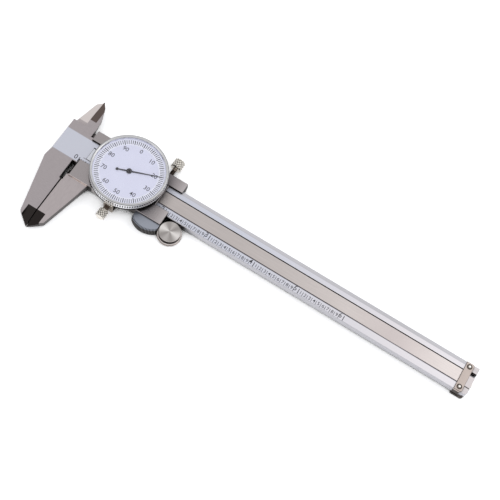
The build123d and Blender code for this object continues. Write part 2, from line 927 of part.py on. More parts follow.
def movement_plate():
    """Round plate with the lower pivots of the gear train."""
    base = disc(movement_plate_radius, dial_at, movement_floor, movement_top)
    base -= disc(arbor_radius + running_play, drive_at, 0, case_top)
    for at in (intermediate_at, dial_at):
        base -= disc(pivot_radius + running_play, at, 0, case_top)
    for place in movement_screw_places():
        base -= disc(small_screw_radius, place, 0, case_top)
    return base


def movement_plate_screws():
    """Three cheese-head screws that hold the movement plate to the case floor."""
    screws = []
    for place in movement_screw_places():
        shank = disc(small_screw_radius, place, case_bottom, movement_top)
        head = disc(small_head_radius, place, movement_top, movement_top + small_head_height)
        screws.append(shank + head)
    return screws


def pillar_points():
    """Places of the pillars between the movement plate and the bridge."""
    columns = (drive_x - pillar_room, dial_x + pillar_right)
    return [(x, y) for x in columns for y in (-pillar_half_span, pillar_half_span)]


def movement_pillars():
    """Four pillars, drilled for the bridge screws."""
    pillars = []
    for place in pillar_points():
        pillar = disc(pillar_radius, place, movement_top, movement_bridge_bottom)
        pillars.append(pillar - disc(small_screw_radius, place, 0, case_top))
    return pillars


def movement_bridge():
    """Flat bridge with the upper pivots of the gear train."""
    xs = [place[0] for place in pillar_points()]
    ys = [place[1] for place in pillar_points()]
    bridge = slab(
        (min(xs) - bridge_margin, min(ys) - bridge_margin, movement_bridge_bottom),
        (max(xs) + bridge_margin, max(ys) + bridge_margin, movement_bridge_top),
    )
    bridge = fillet(bridge.edges().filter_by(Axis.Z), bridge_margin)
    for at in (drive_at, intermediate_at):
        bridge -= disc(pivot_radius + running_play, at, 0, case_top)
    bridge -= disc(arbor_radius + running_play, dial_at, 0, case_top)
    for place in pillar_points():
        bridge -= disc(small_screw_radius, place, 0, case_top)
    return bridge


def bridge_screws():
    """Four screws that hold the bridge on its pillars."""
    screws = []
    for place in pillar_points():
        shank = disc(small_screw_radius, place, movement_top, movement_bridge_top)
        head_top = movement_bridge_top + small_head_height
        head = disc(small_head_radius, place, movement_bridge_top, head_top)
        screws.append(shank + head)
    return screws


def bezel_ring():
    """Turning bezel: skirt around the case, groove for the clip, lip over the crystal."""
    groove_low_z = bezel_bottom + clamp_groove_rise
    groove_high_z = groove_low_z + clamp_groove_width
    profile = (
        (bezel_bore, bezel_bottom),
        (bezel_radius, bezel_bottom),
        (bezel_radius, groove_low_z),
        (bezel_radius - clamp_groove_depth, groove_low_z),
        (bezel_radius - clamp_groove_depth, groove_high_z),
        (bezel_radius, groove_high_z),
        (bezel_radius, bezel_front - bezel_outer_slope),
        (bezel_radius - bezel_outer_slope, bezel_front),
        (bezel_opening_radius + bezel_inner_slope, bezel_front),
        (bezel_opening_radius, crystal_top + small_gap),
        (bezel_opening_radius, crystal_top),
        (bezel_bore, crystal_top),
    )
    return Pos(dial_x, 0, 0) * turned(profile)


def crystal():
    """Flat clear window under the bezel's lip."""
    return disc(bezel_bore, dial_at, crystal_bottom, crystal_top)


def spacer_ring():
    """Ring that keeps the crystal off the dial."""
    ring = disc(bezel_bore, dial_at, dial_top, crystal_bottom)
    return ring - disc(bezel_opening_radius, dial_at, 0, bezel_front)


def dial_face():
    """White dial, which turns with the bezel to set the zero."""
    face = disc(bezel_bore, dial_at, dial_bottom, dial_top)
    return face - disc(arbor_radius + small_gap, dial_at, 0, bezel_front)


def bezel_retaining_ring():
    """Ring pressed in behind the dial."""
    ring = disc(bezel_bore, dial_at, retainer_bottom, dial_bottom)
    return ring - disc(bezel_bore - retainer_width, dial_at, 0, bezel_front)


def bezel_clamp():
    """Clip whose finger reaches into the bezel's groove when its screw is tightened."""
    finger_low = bezel_bottom + clamp_groove_rise + small_gap
    finger_high = finger_low + clamp_groove_width - 2 * small_gap
    left = clamp_x - clip_half_width + clip_offset
    right = clamp_x + clip_half_width + clip_offset
    low_z = clamp_z - clamp_stem_radius - clip_thickness
    upright = slab((left, clip_outer_y, low_z), (right, clip_face_y, finger_high))
    foot = slab((left, clip_outer_y, low_z), (right, slider_bottom, low_z + clip_thickness))
    finger = slab((left, clip_outer_y, finger_low), (right, -case_radius, finger_high))
    groove_floor = bezel_radius - clamp_groove_depth
    finger -= disc(groove_floor + small_gap, dial_at, 0, bezel_front)
    clip = upright + foot + finger
    hole_radius = clamp_stem_radius + thread_play
    return clip - rod_along_y(hole_radius, clamp_x, clamp_z, clip_outer_y - beyond, slider_bottom)


def bezel_lock_screw():
    """Knurled screw that pulls the clip against the bezel."""
    collar_end = clip_outer_y - slide_play
    head_start = collar_end - clamp_collar_length
    screw_end = slider_bottom + clamp_screw_depth
    stem = rod_along_y(clamp_stem_radius, clamp_x, clamp_z, head_start, screw_end)
    head = rod_along_y(clamp_head_radius, clamp_x, clamp_z, head_start - clamp_head_length, head_start)
    head = chamfer(head.edges(), head_edge_break)
    collar = rod_along_y(clamp_collar_radius, clamp_x, clamp_z, head_start, collar_end)
    return stem + head + collar


def drive_phases():
    """Tooth angles of the whole train, so that each pair meshes at rest."""
    pinion = -math.pi / 2
    toward_intermediate = math.atan2(intermediate_y - slit_centre, intermediate_x - drive_x)
    wheel = toward_intermediate
    lower = toward_intermediate + math.pi + math.pi / intermediate_pinion_teeth
    toward_centre = math.atan2(-intermediate_y, dial_x - intermediate_x)
    upper = toward_centre
    centre = toward_centre + math.pi + math.pi / centre_pinion_teeth
    return {"pinion": pinion, "wheel": wheel, "lower": lower, "upper": upper, "centre": centre}


def drive_pinion():
    """Ten-tooth pinion that rolls along the rack."""
    phase = drive_phases()["pinion"]
    return toothed_wheel(pinion_teeth, pinion_module, drive_at, phase, pinion_bottom, pinion_top)


def drive_arbor():
    """Stepped arbor from the pinion, through the slit, up into the gear train."""
    neck_end = beam_front + small_gap
    shoulder = movement_bridge_bottom - slide_play
    neck = disc(arbor_neck_radius, drive_at, pinion_top, neck_end)
    middle = disc(arbor_radius, drive_at, neck_end, shoulder)
    pivot = disc(pivot_radius, drive_at, shoulder, movement_bridge_top)
    return neck + middle + pivot


def train_wheel(teeth, at, phase, z_low, z_high):
    """Wheel of the train, pressed on its arbor."""
    wheel = toothed_wheel(teeth, gear_module, at, phase, z_low, z_high)
    return wheel - disc(arbor_radius, at, 0, case_top)


def drive_wheel():
    """Large wheel on the drive arbor."""
    high = lower_wheel_bottom + wheel_thickness
    return train_wheel(drive_wheel_teeth, drive_at, drive_phases()["wheel"], lower_wheel_bottom, high)


def antilash_wheel():
    """Second thin wheel on the drive arbor, which a spring turns against the first."""
    phase = drive_phases()["wheel"]
    return train_wheel(drive_wheel_teeth, drive_at, phase, second_wheel_bottom, second_wheel_top)


def antilash_spring():
    """Flat open spring that lies on the second wheel."""
    high = second_wheel_top + spring_thickness
    ring = disc(spring_outer_radius, drive_at, second_wheel_top, high)
    ring -= disc(spring_inner_radius, drive_at, 0, case_top)
    x, y = drive_at
    half = spring_opening / 2
    return ring - slab((x, y - half, 0), (x + spring_outer_radius + beyond, y + half, case_top))


def short_arbor(at, z_top):
    """Arbor of a later stage with its lower and upper pivots."""
    shoulder = movement_top + slide_play
    upper_shoulder = movement_bridge_bottom - slide_play
    lower_pivot = disc(pivot_radius, at, movement_floor + slide_play, shoulder)
    middle = disc(arbor_radius, at, shoulder, upper_shoulder)
    return lower_pivot + middle + disc(pivot_radius, at, upper_shoulder, z_top)


def intermediate_pinion():
    """Pinion of the second stage, in one piece with its arbor."""
    low = lower_wheel_bottom - slide_play
    high = second_wheel_top + slide_play
    phase = drive_phases()["lower"]
    teeth = toothed_wheel(intermediate_pinion_teeth, gear_module, intermediate_at, phase, low, high)
    return teeth + short_arbor(intermediate_at, movement_bridge_top)


def intermediate_wheel():
    """Wheel of the second stage, which drives the pointer's pinion."""
    phase = drive_phases()["upper"]
    return train_wheel(
        intermediate_wheel_teeth, intermediate_at, phase, upper_wheel_bottom, upper_wheel_top
    )


def centre_pinion():
    """Pinion on the dial's axis, in one piece with the arbor that carries the pointer."""
    low = upper_wheel_bottom - slide_play
    high = upper_wheel_top + slide_play
    phase = drive_phases()["centre"]
    teeth = toothed_wheel(centre_pinion_teeth, gear_module, dial_at, phase, low, high)
    arbor = short_arbor(dial_at, movement_bridge_bottom)
    post_low = movement_bridge_bottom - slide_play
    post = disc(arbor_radius, dial_at, post_low, crystal_bottom - pointer_post_gap)
    return teeth + arbor + post


def pointer_hand():
    """Pointer with its round hub and a round tail, at its reading on the dial that the bezel has turned."""
    low = dial_top + pointer_post_gap
    high = low + pointer_thickness
    blade = plate(
        (
            (-pointer_tail, -pointer_tail_width / 2),
            (-pointer_tail, pointer_tail_width / 2),
            (0, pointer_root_width / 2),
            (pointer_length, pointer_tip_width / 2),
            (pointer_length, -pointer_tip_width / 2),
            (0, -pointer_root_width / 2),
        ),
        low,
        high,
    )
    tail = disc(pointer_tail_disc_radius, (-pointer_tail, 0), low, high)
    hub = disc(pointer_hub_radius, (0, 0), low, high + pointer_hub_rise)
    hand = blade + tail + hub - disc(arbor_radius, (0, 0), 0, bezel_front)
    angle = 90 - 360 * pointer_reading + bezel_set_angle
    return Pos(dial_x, 0, 0) * Rot(0, 0, angle) * hand


fixed_pieces = (
    main_beam,
    rack_bar,
    rack_cover_strip,
    rack_pins,
    end_bridge_plate,
    end_rivets,
    rear_end_block,
)
sliding_pieces = (
    slider_body,
    gib_strip,
    gib_screws,
    lock_pad,
    slider_lock_screw,
    back_plate,
    back_plate_screws,
    depth_rod,
    depth_rod_pins,
    roller_bracket,
    bracket_screws,
    roller_axle,
    thumb_roller,
    dial_case,
    case_screws,
    movement_plate,
    movement_plate_screws,
    movement_pillars,
    movement_bridge,
    bridge_screws,
    bezel_ring,
    crystal,
    spacer_ring,
    dial_face,
    bezel_retaining_ring,
    bezel_clamp,
    bezel_lock_screw,
    drive_pinion,
    drive_arbor,
    drive_wheel,
    antilash_wheel,
    antilash_spring,
    intermediate_pinion,
    intermediate_wheel,
    centre_pinion,
    pointer_hand,
)


def write(piece, shift):
    """Build one node, move it along X and write it."""
    shape = piece()
    solids = shape if isinstance(shape, list) else [shape]
    moved = [Pos(shift, 0, 0) * solid for solid in solids]
    node = moved[0] if len(moved) == 1 else Compound(children=moved)
    export_step(node, f"parts/{piece.__name__}.step")


os.makedirs("parts", exist_ok=True)
for piece in fixed_pieces:
    write(piece, -dial_x - rest_opening)
for piece in sliding_pieces:
    write(piece, -dial_x)
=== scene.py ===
"""Looks of a six-inch dial caliper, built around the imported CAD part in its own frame, in metres."""

import math

import bmesh
import bpy
from mathutils import Matrix, Vector


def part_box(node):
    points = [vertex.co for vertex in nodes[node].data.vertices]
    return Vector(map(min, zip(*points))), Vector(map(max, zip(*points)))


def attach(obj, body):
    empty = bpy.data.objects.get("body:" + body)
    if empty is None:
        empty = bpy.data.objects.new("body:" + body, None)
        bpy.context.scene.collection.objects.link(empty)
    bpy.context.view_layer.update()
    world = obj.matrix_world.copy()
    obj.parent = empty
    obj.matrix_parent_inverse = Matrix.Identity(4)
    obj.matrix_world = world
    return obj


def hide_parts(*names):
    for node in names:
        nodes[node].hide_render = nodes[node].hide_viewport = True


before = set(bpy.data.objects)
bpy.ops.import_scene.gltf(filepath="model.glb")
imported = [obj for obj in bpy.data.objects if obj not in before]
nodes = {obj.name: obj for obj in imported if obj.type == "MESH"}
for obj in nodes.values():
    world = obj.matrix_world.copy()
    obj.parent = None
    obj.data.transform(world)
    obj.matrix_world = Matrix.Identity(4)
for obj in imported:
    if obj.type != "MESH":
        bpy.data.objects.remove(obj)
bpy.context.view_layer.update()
scene = bpy.context.scene
mm = 0.001

# Camera. The photograph looks down on the caliper from its lower side, turned in the frame so that
# the beam runs from the upper left to the lower right.
look_at = Vector((70.765, -0.55, 5.45)) * mm
camera_azimuth = math.radians(13.13)
camera_elevation = math.radians(65.46)
camera_roll = math.radians(-18.98)
camera_distance = 559.95 * mm
pixels_per_radian = 1142.8
photo_width = 500

back = Vector(
    (
        math.sin(camera_azimuth) * math.cos(camera_elevation),
        -math.cos(camera_azimuth) * math.cos(camera_elevation),
        math.sin(camera_elevation),
    )
)
level_right = (-back).cross(Vector((0, 0, 1))).normalized()
level_up = level_right.cross(-back)
right = math.cos(camera_roll) * level_right - math.sin(camera_roll) * level_up
up = math.sin(camera_roll) * level_right + math.cos(camera_roll) * level_up
lens = bpy.data.cameras.new("camera")
lens.sensor_width = 36
lens.lens = lens.sensor_width * pixels_per_radian / photo_width
lens.clip_start = 0.01
camera = bpy.data.objects.new("camera", lens)
turned = Matrix((right, up, back)).transposed().to_4x4()
camera.matrix_world = Matrix.Translation(look_at + back * camera_distance) @ turned
scene.collection.objects.link(camera)
scene.camera = camera


# Floor and studio. A matt white table under a pale tent, one wide soft lamp high behind the caliper
# and a weaker one in front, so that polished edges have something lighter and darker to mirror. The
# table's colour is painted dark, as shade, only where the caliper closes it in, as in the narrow gap under
# the beam.
def linear(colour):
    """Linear colour of an sRGB hex value."""
    parts = [int(colour[i : i + 2], 16) / 255 for i in (1, 3, 5)]
    return tuple(p / 12.92 if p <= 0.04045 else ((p + 0.055) / 1.055) ** 2.4 for p in parts) + (1.0,)


def add(tree, kind, inputs=(), **settings):
    """Adds a node with its settings; inputs pairs a socket with a value or with the socket to link."""
    node = tree.nodes.new(kind)
    for name, value in settings.items():
        setattr(node, name, value)
    for key, value in dict(inputs).items():
        if isinstance(value, bpy.types.NodeSocket):
            tree.links.new(value, node.inputs[key])
        else:
            node.inputs[key].default_value = value
    return node


def new_tree(name):
    """An empty material with its node tree."""
    material = bpy.data.materials.new(name)
    material.use_nodes = True
    material.node_tree.nodes.clear()
    return material, material.node_tree


def background_ray(tree):
    """1 for the rays that show the background: from the camera, off metal and through glass."""
    ray = add(tree, "ShaderNodeLightPath")
    shown = ray.outputs["Is Camera Ray"]
    for kind in ("Is Glossy Ray", "Is Transmission Ray"):
        shown = add(tree, "ShaderNodeMath", {0: shown, 1: ray.outputs[kind]}, operation="MAXIMUM").outputs[0]
    return shown


scene.view_settings.view_transform = "Standard"
world = bpy.data.worlds.new("studio_tent")
scene.world = world
world.use_nodes = True
tree = world.node_tree
tree.nodes.clear()
lit = add(tree, "ShaderNodeBackground", {"Color": linear("#F4F5F8"), "Strength": 0.95})
seen = add(tree, "ShaderNodeBackground", {"Color": linear("#FFFFFF"), "Strength": 1.0})
mixed = add(tree, "ShaderNodeMixShader", {0: background_ray(tree), 1: lit.outputs[0], 2: seen.outputs[0]})
add(tree, "ShaderNodeOutputWorld", {0: mixed.outputs[0]})

table_half = 3.0
table_drop = 0.02 * mm
blotch_size = 20 / 3 * mm
gap_reach = 8 * mm
closed_in = 0.27
lies_open = 0.38
table_glow = 0.4
table_white, tree = new_tree("matt_white_table")
blotches = add(tree, "ShaderNodeTexNoise", {"Scale": 2 * table_half / blotch_size, "Detail": 3.0})
paper = add(
    tree,
    "ShaderNodeMix",
    {0: blotches.outputs[0], 6: linear("#F7F7F7"), 7: linear("#FCFCFC")},
    data_type="RGBA",
)
openness = add(tree, "ShaderNodeAmbientOcclusion", {"Distance": gap_reach}, samples=8)
not_in_gap = add(tree, "ShaderNodeMapRange", {0: openness.outputs["AO"], 1: closed_in, 2: lies_open})
# Painted shade: the table's colour goes near black where the caliper closes it in.
shaded = add(
    tree,
    "ShaderNodeMix",
    {0: not_in_gap.outputs[0], 6: linear("#1A1918"), 7: paper.outputs[2]},
    data_type="RGBA",
)
matt = add(tree, "ShaderNodeBsdfDiffuse", {"Color": shaded.outputs[2]})
share = add(tree, "ShaderNodeMath", {0: not_in_gap.outputs[0], 1: table_glow}, operation="MULTIPLY")
lift = add(tree, "ShaderNodeMath", {0: background_ray(tree), 1: share.outputs[0]}, operation="MULTIPLY")
glow = add(tree, "ShaderNodeEmission", {"Color": linear("#FFFFFF"), "Strength": lift.outputs[0]})
table_top = add(tree, "ShaderNodeAddShader", {0: matt.outputs[0], 1: glow.outputs[0]})
add(tree, "ShaderNodeOutputMaterial", {0: table_top.outputs[0]})

floor_mesh = bpy.data.meshes.new("table")
corners = [(x * table_half, y * table_half, -table_drop) for x, y in ((-1, -1), (1, -1), (1, 1), (-1, 1))]
floor_mesh.from_pydata(corners, [], [(0, 1, 2, 3)])
floor = bpy.data.objects.new("table", floor_mesh)
floor_mesh.materials.append(table_white)
scene.collection.objects.link(floor)

for name, where, size, watts in (
    ("lamp_behind", (0.42, 0.36, 0.75), 0.5, 1.1),
    ("lamp_front", (-0.45, -0.5, 0.6), 0.4, 0.4),
):
    lamp = bpy.data.lights.new(name, "AREA")
    lamp.size = size
    lamp.energy = watts
    holder = bpy.data.objects.new(name, lamp)
    holder.location = where
    holder.rotation_euler = (look_at - Vector(where)).to_track_quat("-Z", "Y").to_euler()
    scene.collection.objects.link(holder)


# Beam with the fixed jaw and the fixed inside blade: hardened stainless steel, ground all over. Its
# front carries a band of satin chrome for the scale, which scatters light and looks pale and bluish,
# and the jaw's tip and the blade are ground to bevels, painted dark as a reflection of the room's dark
# side. Its sides, the groove's lip, the slot and seam at its end and its corners by taller parts carry
# painted shade.
def shades(colour, spread):
    """A darker and a lighter linear colour, either side of an sRGB hex value."""
    parts = linear(colour)[:3]
    dark = [part * (1 - spread) for part in parts] + [1.0]
    light = [min(1.0, part * (1 + spread)) for part in parts] + [1.0]
    return dark, light


def metal_tree(name, colour, roughness, grain_step, side=None, bump=0.15, spread=0.10):
    """A ground or turned metal; grain_step is the length of a grinding mark along X, Y and Z in mm.

    The marks are drawn coarser than real ones, so that they show. Faces that look sideways take the
    darker colour given for them, which is painted shade. Returns the material, its tree, the place on
    the object as X, Y and Z, and the shader.
    """
    cloud_size = 14 * mm
    mark_depth = 0.02 * mm
    material, tree = new_tree(name)
    place = add(tree, "ShaderNodeTexCoord")
    xyz = add(tree, "ShaderNodeSeparateXYZ", {0: place.outputs["Object"]})
    scale = [1 / (step * mm) for step in grain_step]
    stretched = add(tree, "ShaderNodeMapping", {"Vector": place.outputs["Object"], "Scale": scale})
    marks = add(tree, "ShaderNodeTexNoise", {"Vector": stretched.outputs[0], "Scale": 1.0, "Detail": 4.0})
    clouds = add(tree, "ShaderNodeTexNoise", {"Vector": place.outputs["Object"], "Scale": 1 / cloud_size})
    dark, light = shades(colour, spread)
    streaked = add(tree, "ShaderNodeMix", {0: marks.outputs[0], 6: dark, 7: light}, data_type="RGBA")
    worn = add(tree, "ShaderNodeMapRange", {0: clouds.outputs[0], 3: roughness - 0.05, 4: roughness + 0.06})
    relief = {"Height": marks.outputs[0], "Strength": bump, "Distance": mark_depth}
    raised = add(tree, "ShaderNodeBump", relief)
    shader = add(
        tree,
        "ShaderNodeBsdfPrincipled",
        {
            "Base Color": streaked.outputs[2],
            "Metallic": 1.0,
            "Roughness": worn.outputs[0],
            "Normal": raised.outputs[0],
        },
    )
    add(tree, "ShaderNodeOutputMaterial", {0: shader.outputs[0]})
    if side:
        # Painted shade: faces that look sideways take a darker colour.
        facing = add(tree, "ShaderNodeSeparateXYZ", {0: place.outputs["Normal"]})
        upright = add(tree, "ShaderNodeMath", {0: facing.outputs["Z"]}, operation="ABSOLUTE")
        sideways = add(tree, "ShaderNodeMapRange", {0: upright.outputs[0], 1: 0.25, 2: 0.75, 3: 1.0, 4: 0.0})
        repaint(tree, shader, sideways.outputs[0], side, roughness + 0.1)
    return material, tree, xyz, shader


def overlap(tree, *masks):
    """1 where every mask is 1."""
    shared = masks[0]
    for mask in masks[1:]:
        shared = add(tree, "ShaderNodeMath", {0: shared, 1: mask}, operation="MULTIPLY").outputs[0]
    return shared


def zone(tree, value, low, high, blur):
    """1 where a coordinate in metres lies between low and high in millimetres, with soft ends."""
    ends = []
    for end, before, after in ((low, 0.0, 1.0), (high, 1.0, 0.0)):
        ramp = {0: value, 1: (end - blur) * mm, 2: (end + blur) * mm, 3: before, 4: after}
        ends.append(add(tree, "ShaderNodeMapRange", ramp).outputs[0])
    return overlap(tree, *ends)


def patch(tree, xyz, **spans):
    """1 inside a block; a span is its low end, its high end and their blur along one axis, in mm."""
    return overlap(tree, *[zone(tree, xyz.outputs[axis], *span) for axis, span in spans.items()])


def repaint(tree, shader, mask, colour, roughness):
    """Lays another finish over a metal where the mask is 1."""
    base = shader.inputs["Base Color"].links[0].from_socket
    rough = shader.inputs["Roughness"].links[0].from_socket
    fresh = linear(colour) if isinstance(colour, str) else colour
    painted = add(tree, "ShaderNodeMix", {0: mask, 6: base, 7: fresh}, data_type="RGBA")
    roughened = add(tree, "ShaderNodeMix", {0: mask, 2: rough, 3: roughness})
    tree.links.new(painted.outputs[2], shader.inputs["Base Color"])
    tree.links.new(roughened.outputs[0], shader.inputs["Roughness"])


def shade_corners(tree, shader, darkest):
    """Paints shade into a metal's colour where taller neighbours close it in, most on their +X side."""
    reach = 9 * mm
    lean = (-0.6, 0, 0)
    base = shader.inputs["Base Color"].links[0].from_socket
    surface = add(tree, "ShaderNodeNewGeometry")
    leaning = add(tree, "ShaderNodeVectorMath", {0: surface.outputs["Normal"], 1: lean}, operation="ADD")
    direction = add(tree, "ShaderNodeVectorMath", {0: leaning.outputs[0]}, operation="NORMALIZE")
    sockets = {"Distance": reach, "Normal": direction.outputs[0]}
    openness = add(tree, "ShaderNodeAmbientOcclusion", sockets, samples=6)
    share = add(tree, "ShaderNodeMapRange", {0: openness.outputs["AO"], 1: 0.2, 2: 0.66, 3: darkest, 4: 1.0})
    toned = add(
        tree,
        "ShaderNodeMix",
        {0: 1.0, 6: base, 7: share.outputs[0]},
        data_type="RGBA",
        blend_type="MULTIPLY",
    )
    tree.links.new(toned.outputs[2], shader.inputs["Base Color"])


def round_edges(node, width):
    """Breaks a CAD node's sharp edges by a fraction of a millimetre, as stoning does."""
    piece = nodes[node]
    weld = piece.modifiers.new("weld", "WELD")
    weld.merge_threshold = 0.001 * mm
    bevel = piece.modifiers.new("stoned_edges", "BEVEL")
    bevel.width = width * mm
    bevel.segments = 2
    bevel.limit_method = "ANGLE"
    bevel.angle_limit = math.radians(35)
    bevel.harden_normals = True


def dress(material, *names):
    """Gives CAD nodes a material in every slot."""
    for name in names:
        data = nodes[name].data
        data.materials.clear()
        data.materials.append(material)
        for face in data.polygons:
            face.material_index = 0


def tip_bevel(tree, xyz, low, high):
    """1 on the bevel at a jaw's tip, which lies between two places along X and below the front face."""
    length = (-52, -39.9, 0.06)
    depth = (2.6, beam_front - 0.015, 0.01)
    return patch(tree, xyz, Y=length, X=(low, high, 0.06), Z=depth)


slider_face = -26.5
opening = 0.508
beam_face = slider_face - opening
tip_width = 4.65
beam_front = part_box("main_beam")[1][2] / mm
bar_length = (-24, 200, 0.1)
tone_shift_start = 60 * mm
tone_shift_end = 150 * mm
satin_band = (-7.75, 6.15, 0.05)
line_above_band = (6.05, 6.2, 0.05)
line_below_band = (-7.72, -7.55, 0.04)
upper_bevel = (6.0, 9, 0.1)
groove_lip_shade = (-4.25, -3.9, 0.05)
bare_end = (192.9, 197, 0.1)
end_gaps = (192.3, 197, 0.05)
slot_shadow_by_rack = (3.3, 4.5, 0.06)
seam_shadow_by_rack = (-4.2, -3.7, 0.05)
blade_height = (15.9, 30, 0.1)
blade_width = (beam_face - 6.4, beam_face - 2.72, 0.06)
beam_steel, tree, xyz, shader = metal_tree(
    "ground_hardened_stainless", "#A29B9D", 0.34, (2.5, 0.3, 0.9), side="#6E6866", spread=0.16
)
front = patch(tree, xyz, Z=(beam_front - 0.03, beam_front + 1, 0.01))
along_bar = patch(tree, xyz, X=bar_length)
satin = overlap(tree, front, patch(tree, xyz, Y=satin_band))
# The satin band and the upper bevel change tone along X between these two places.
far_part = add(tree, "ShaderNodeMapRange", {0: xyz.outputs["X"], 1: tone_shift_start, 2: tone_shift_end}).outputs[0]
for mask, colour, roughness in (
    (along_bar, "#BDBCC1", 0.36),
    (satin, "#C3C5D0", 0.42),
    (overlap(tree, satin, far_part), "#C3C0C4", 0.42),
    (overlap(tree, far_part, patch(tree, xyz, Y=upper_bevel)), "#A4A3A7", 0.4),
    # Painted shade: a dark line along the groove's lip, and near-black slot and seam shadows at the end by
    # the rack.
    (overlap(tree, front, along_bar, patch(tree, xyz, Y=groove_lip_shade)), "#87858B", 0.5),
    (overlap(tree, front, patch(tree, xyz, X=bare_end)), "#ADA8A9", 0.38),
    (overlap(tree, front, patch(tree, xyz, X=end_gaps, Y=slot_shadow_by_rack)), "#17120F", 0.5),
    (overlap(tree, front, patch(tree, xyz, X=end_gaps, Y=seam_shadow_by_rack)), "#1F1B1A", 0.5),
    (overlap(tree, front, patch(tree, xyz, Y=line_above_band)), "#A9A8AD", 0.5),
    (overlap(tree, front, patch(tree, xyz, Y=line_below_band)), "#A2A1A8", 0.5),
    # Painted reflection: the dark side of the room, mirrored in the jaw's tip bevel and in the blade.
    (tip_bevel(tree, xyz, beam_face - tip_width, 0), "#2F2B2A", 0.3),
    (patch(tree, xyz, Y=blade_height, X=blade_width), "#5E534F", 0.28),
):
    repaint(tree, shader, mask, colour, roughness)
shade_corners(tree, shader, 0.2)
dress(beam_steel, "main_beam")
round_edges("main_beam", 0.12)


# Scale on the beam: numerals and ticks photo-etched into the satin chrome and filled with dark
# lacquer, a tick every tenth of an inch and a larger numeral at every whole inch. The ticks are
# drawn about twice as wide as real ones, so that they show.
def own(name, mesh, material, body, replaced=()):
    """A piece of this script: linked, painted, riding on a body, in place of the CAD nodes it names."""
    mesh.materials.append(material)
    piece = bpy.data.objects.new(name, mesh)
    scene.collection.objects.link(piece)
    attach(piece, body)
    if replaced:
        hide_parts(*replaced)


def bar(shape, low, high, turn=0.0):
    """Adds a flat bar between two corners in mm to a bmesh, turned about the frame's Z axis."""
    place = Matrix.Rotation(turn, 4, "Z")
    points = [
        shape.verts.new(place @ (Vector((x, y, z)) * mm))
        for x, y in ((low[0], low[1]), (high[0], low[1]), (high[0], high[1]), (low[0], high[1]))
        for z in (low[2], high[2])
    ]
    for a, b, c, d in ((0, 2, 3, 1), (2, 4, 5, 3), (4, 6, 7, 5), (6, 0, 1, 7), (1, 3, 5, 7), (6, 4, 2, 0)):
        shape.faces.new([points[i] for i in (a, b, c, d)])


def numeral(shape, words, height, middle, thickness):
    """Adds a printed number to a bmesh, with its middle at a place in mm."""
    cap_share = 0.69
    stroke_gain = 0.005
    curve = bpy.data.curves.new("numeral", "FONT")
    curve.body = words
    curve.size = height / cap_share * mm
    curve.extrude = thickness / 2 * mm
    curve.offset = height * stroke_gain * mm
    curve.resolution_u = 3
    holder = bpy.data.objects.new("numeral", curve)
    mesh = bpy.data.meshes.new_from_object(holder)
    xs = [v.co.x for v in mesh.vertices]
    ys = [v.co.y for v in mesh.vertices]
    shift = Vector(((min(xs) + max(xs)) / 2, (min(ys) + max(ys)) / 2, 0))
    mesh.transform(Matrix.Translation(Vector(middle) * mm - shift))
    shape.from_mesh(mesh)
    bpy.data.objects.remove(holder)
    bpy.data.meshes.remove(mesh)
    bpy.data.curves.remove(curve)


def finished_mesh(shape, name):
    """Turns a bmesh into a mesh whose faces look outwards."""
    bmesh.ops.recalc_face_normals(shape, faces=shape.faces)
    mesh = bpy.data.meshes.new(name)
    shape.to_mesh(mesh)
    shape.free()
    return mesh


def lacquer(name, colour, wear):
    """Thin matt paint in an engraved mark, worn lighter in places by wiping."""
    patch_size = 0.5 * mm
    material, tree = new_tree(name)
    place = add(tree, "ShaderNodeTexCoord")
    worn = add(tree, "ShaderNodeTexNoise", {"Vector": place.outputs["Object"], "Scale": 1 / patch_size})
    tones = {0: worn.outputs[0], 6: linear(colour), 7: linear(wear)}
    mixed = add(tree, "ShaderNodeMix", tones, data_type="RGBA")
    shader = add(tree, "ShaderNodeBsdfPrincipled", {"Base Color": mixed.outputs[2], "Roughness": 0.55})
    add(tree, "ShaderNodeOutputMaterial", {0: shader.outputs[0]})
    return material


inch = 25.4
tenth = inch / 10
scale_tenths = 60
scale_zero = beam_face + 1.5
etched = 0.015
tick_foot = -7.5
inch_mark = {"half_width": 0.18, "top": -4.8, "numeral": 2.5, "left_of_tick": 1.9, "middle": -5.5}
tenth_mark = {"half_width": 0.12, "top": -5.3, "numeral": 1.8, "left_of_tick": 1.2, "middle": -6.2}
etched_lacquer = lacquer("dark_etch_lacquer", "#1A1B23", "#2E2F38")
shape = bmesh.new()
for index in range(scale_tenths + 1):
    inches, tenths = divmod(index, 10)
    mark = tenth_mark if tenths else inch_mark
    x = scale_zero + index * tenth
    half = mark["half_width"]
    bar(shape, (x - half, tick_foot, beam_front - etched), (x + half, mark["top"], beam_front + etched))
    middle = (x - mark["left_of_tick"], mark["middle"], beam_front)
    numeral(shape, str(tenths or inches), mark["numeral"], middle, 2 * etched)
own("beam_scale", finished_mesh(shape, "beam_scale"), etched_lacquer, "beam")

# Rack and its cover: a hardened toothed bar lies in the beam's groove, held by two dowel pins, and a
# brushed steel strip slides in over it. The strip is brushed along its length, so it shows long warm
# streaks, and at its left end a reflection of the pale scale band is painted on. Its lower edge, its
# sides and its corners by taller parts carry painted shade.
rack_steel, tree, xyz, shader = metal_tree("hardened_rack_steel", "#8C8780", 0.35, (0.06, 0.9, 0.3))
rack_end = (192.5, 196, 0.1)
rack_front = (-3.7, 3, 0.05)
rack_seam_shadow = (-4.3, -3.75, 0.05)
repaint(tree, shader, patch(tree, xyz, X=rack_end, Y=rack_front), "#AAA4A5", 0.35)
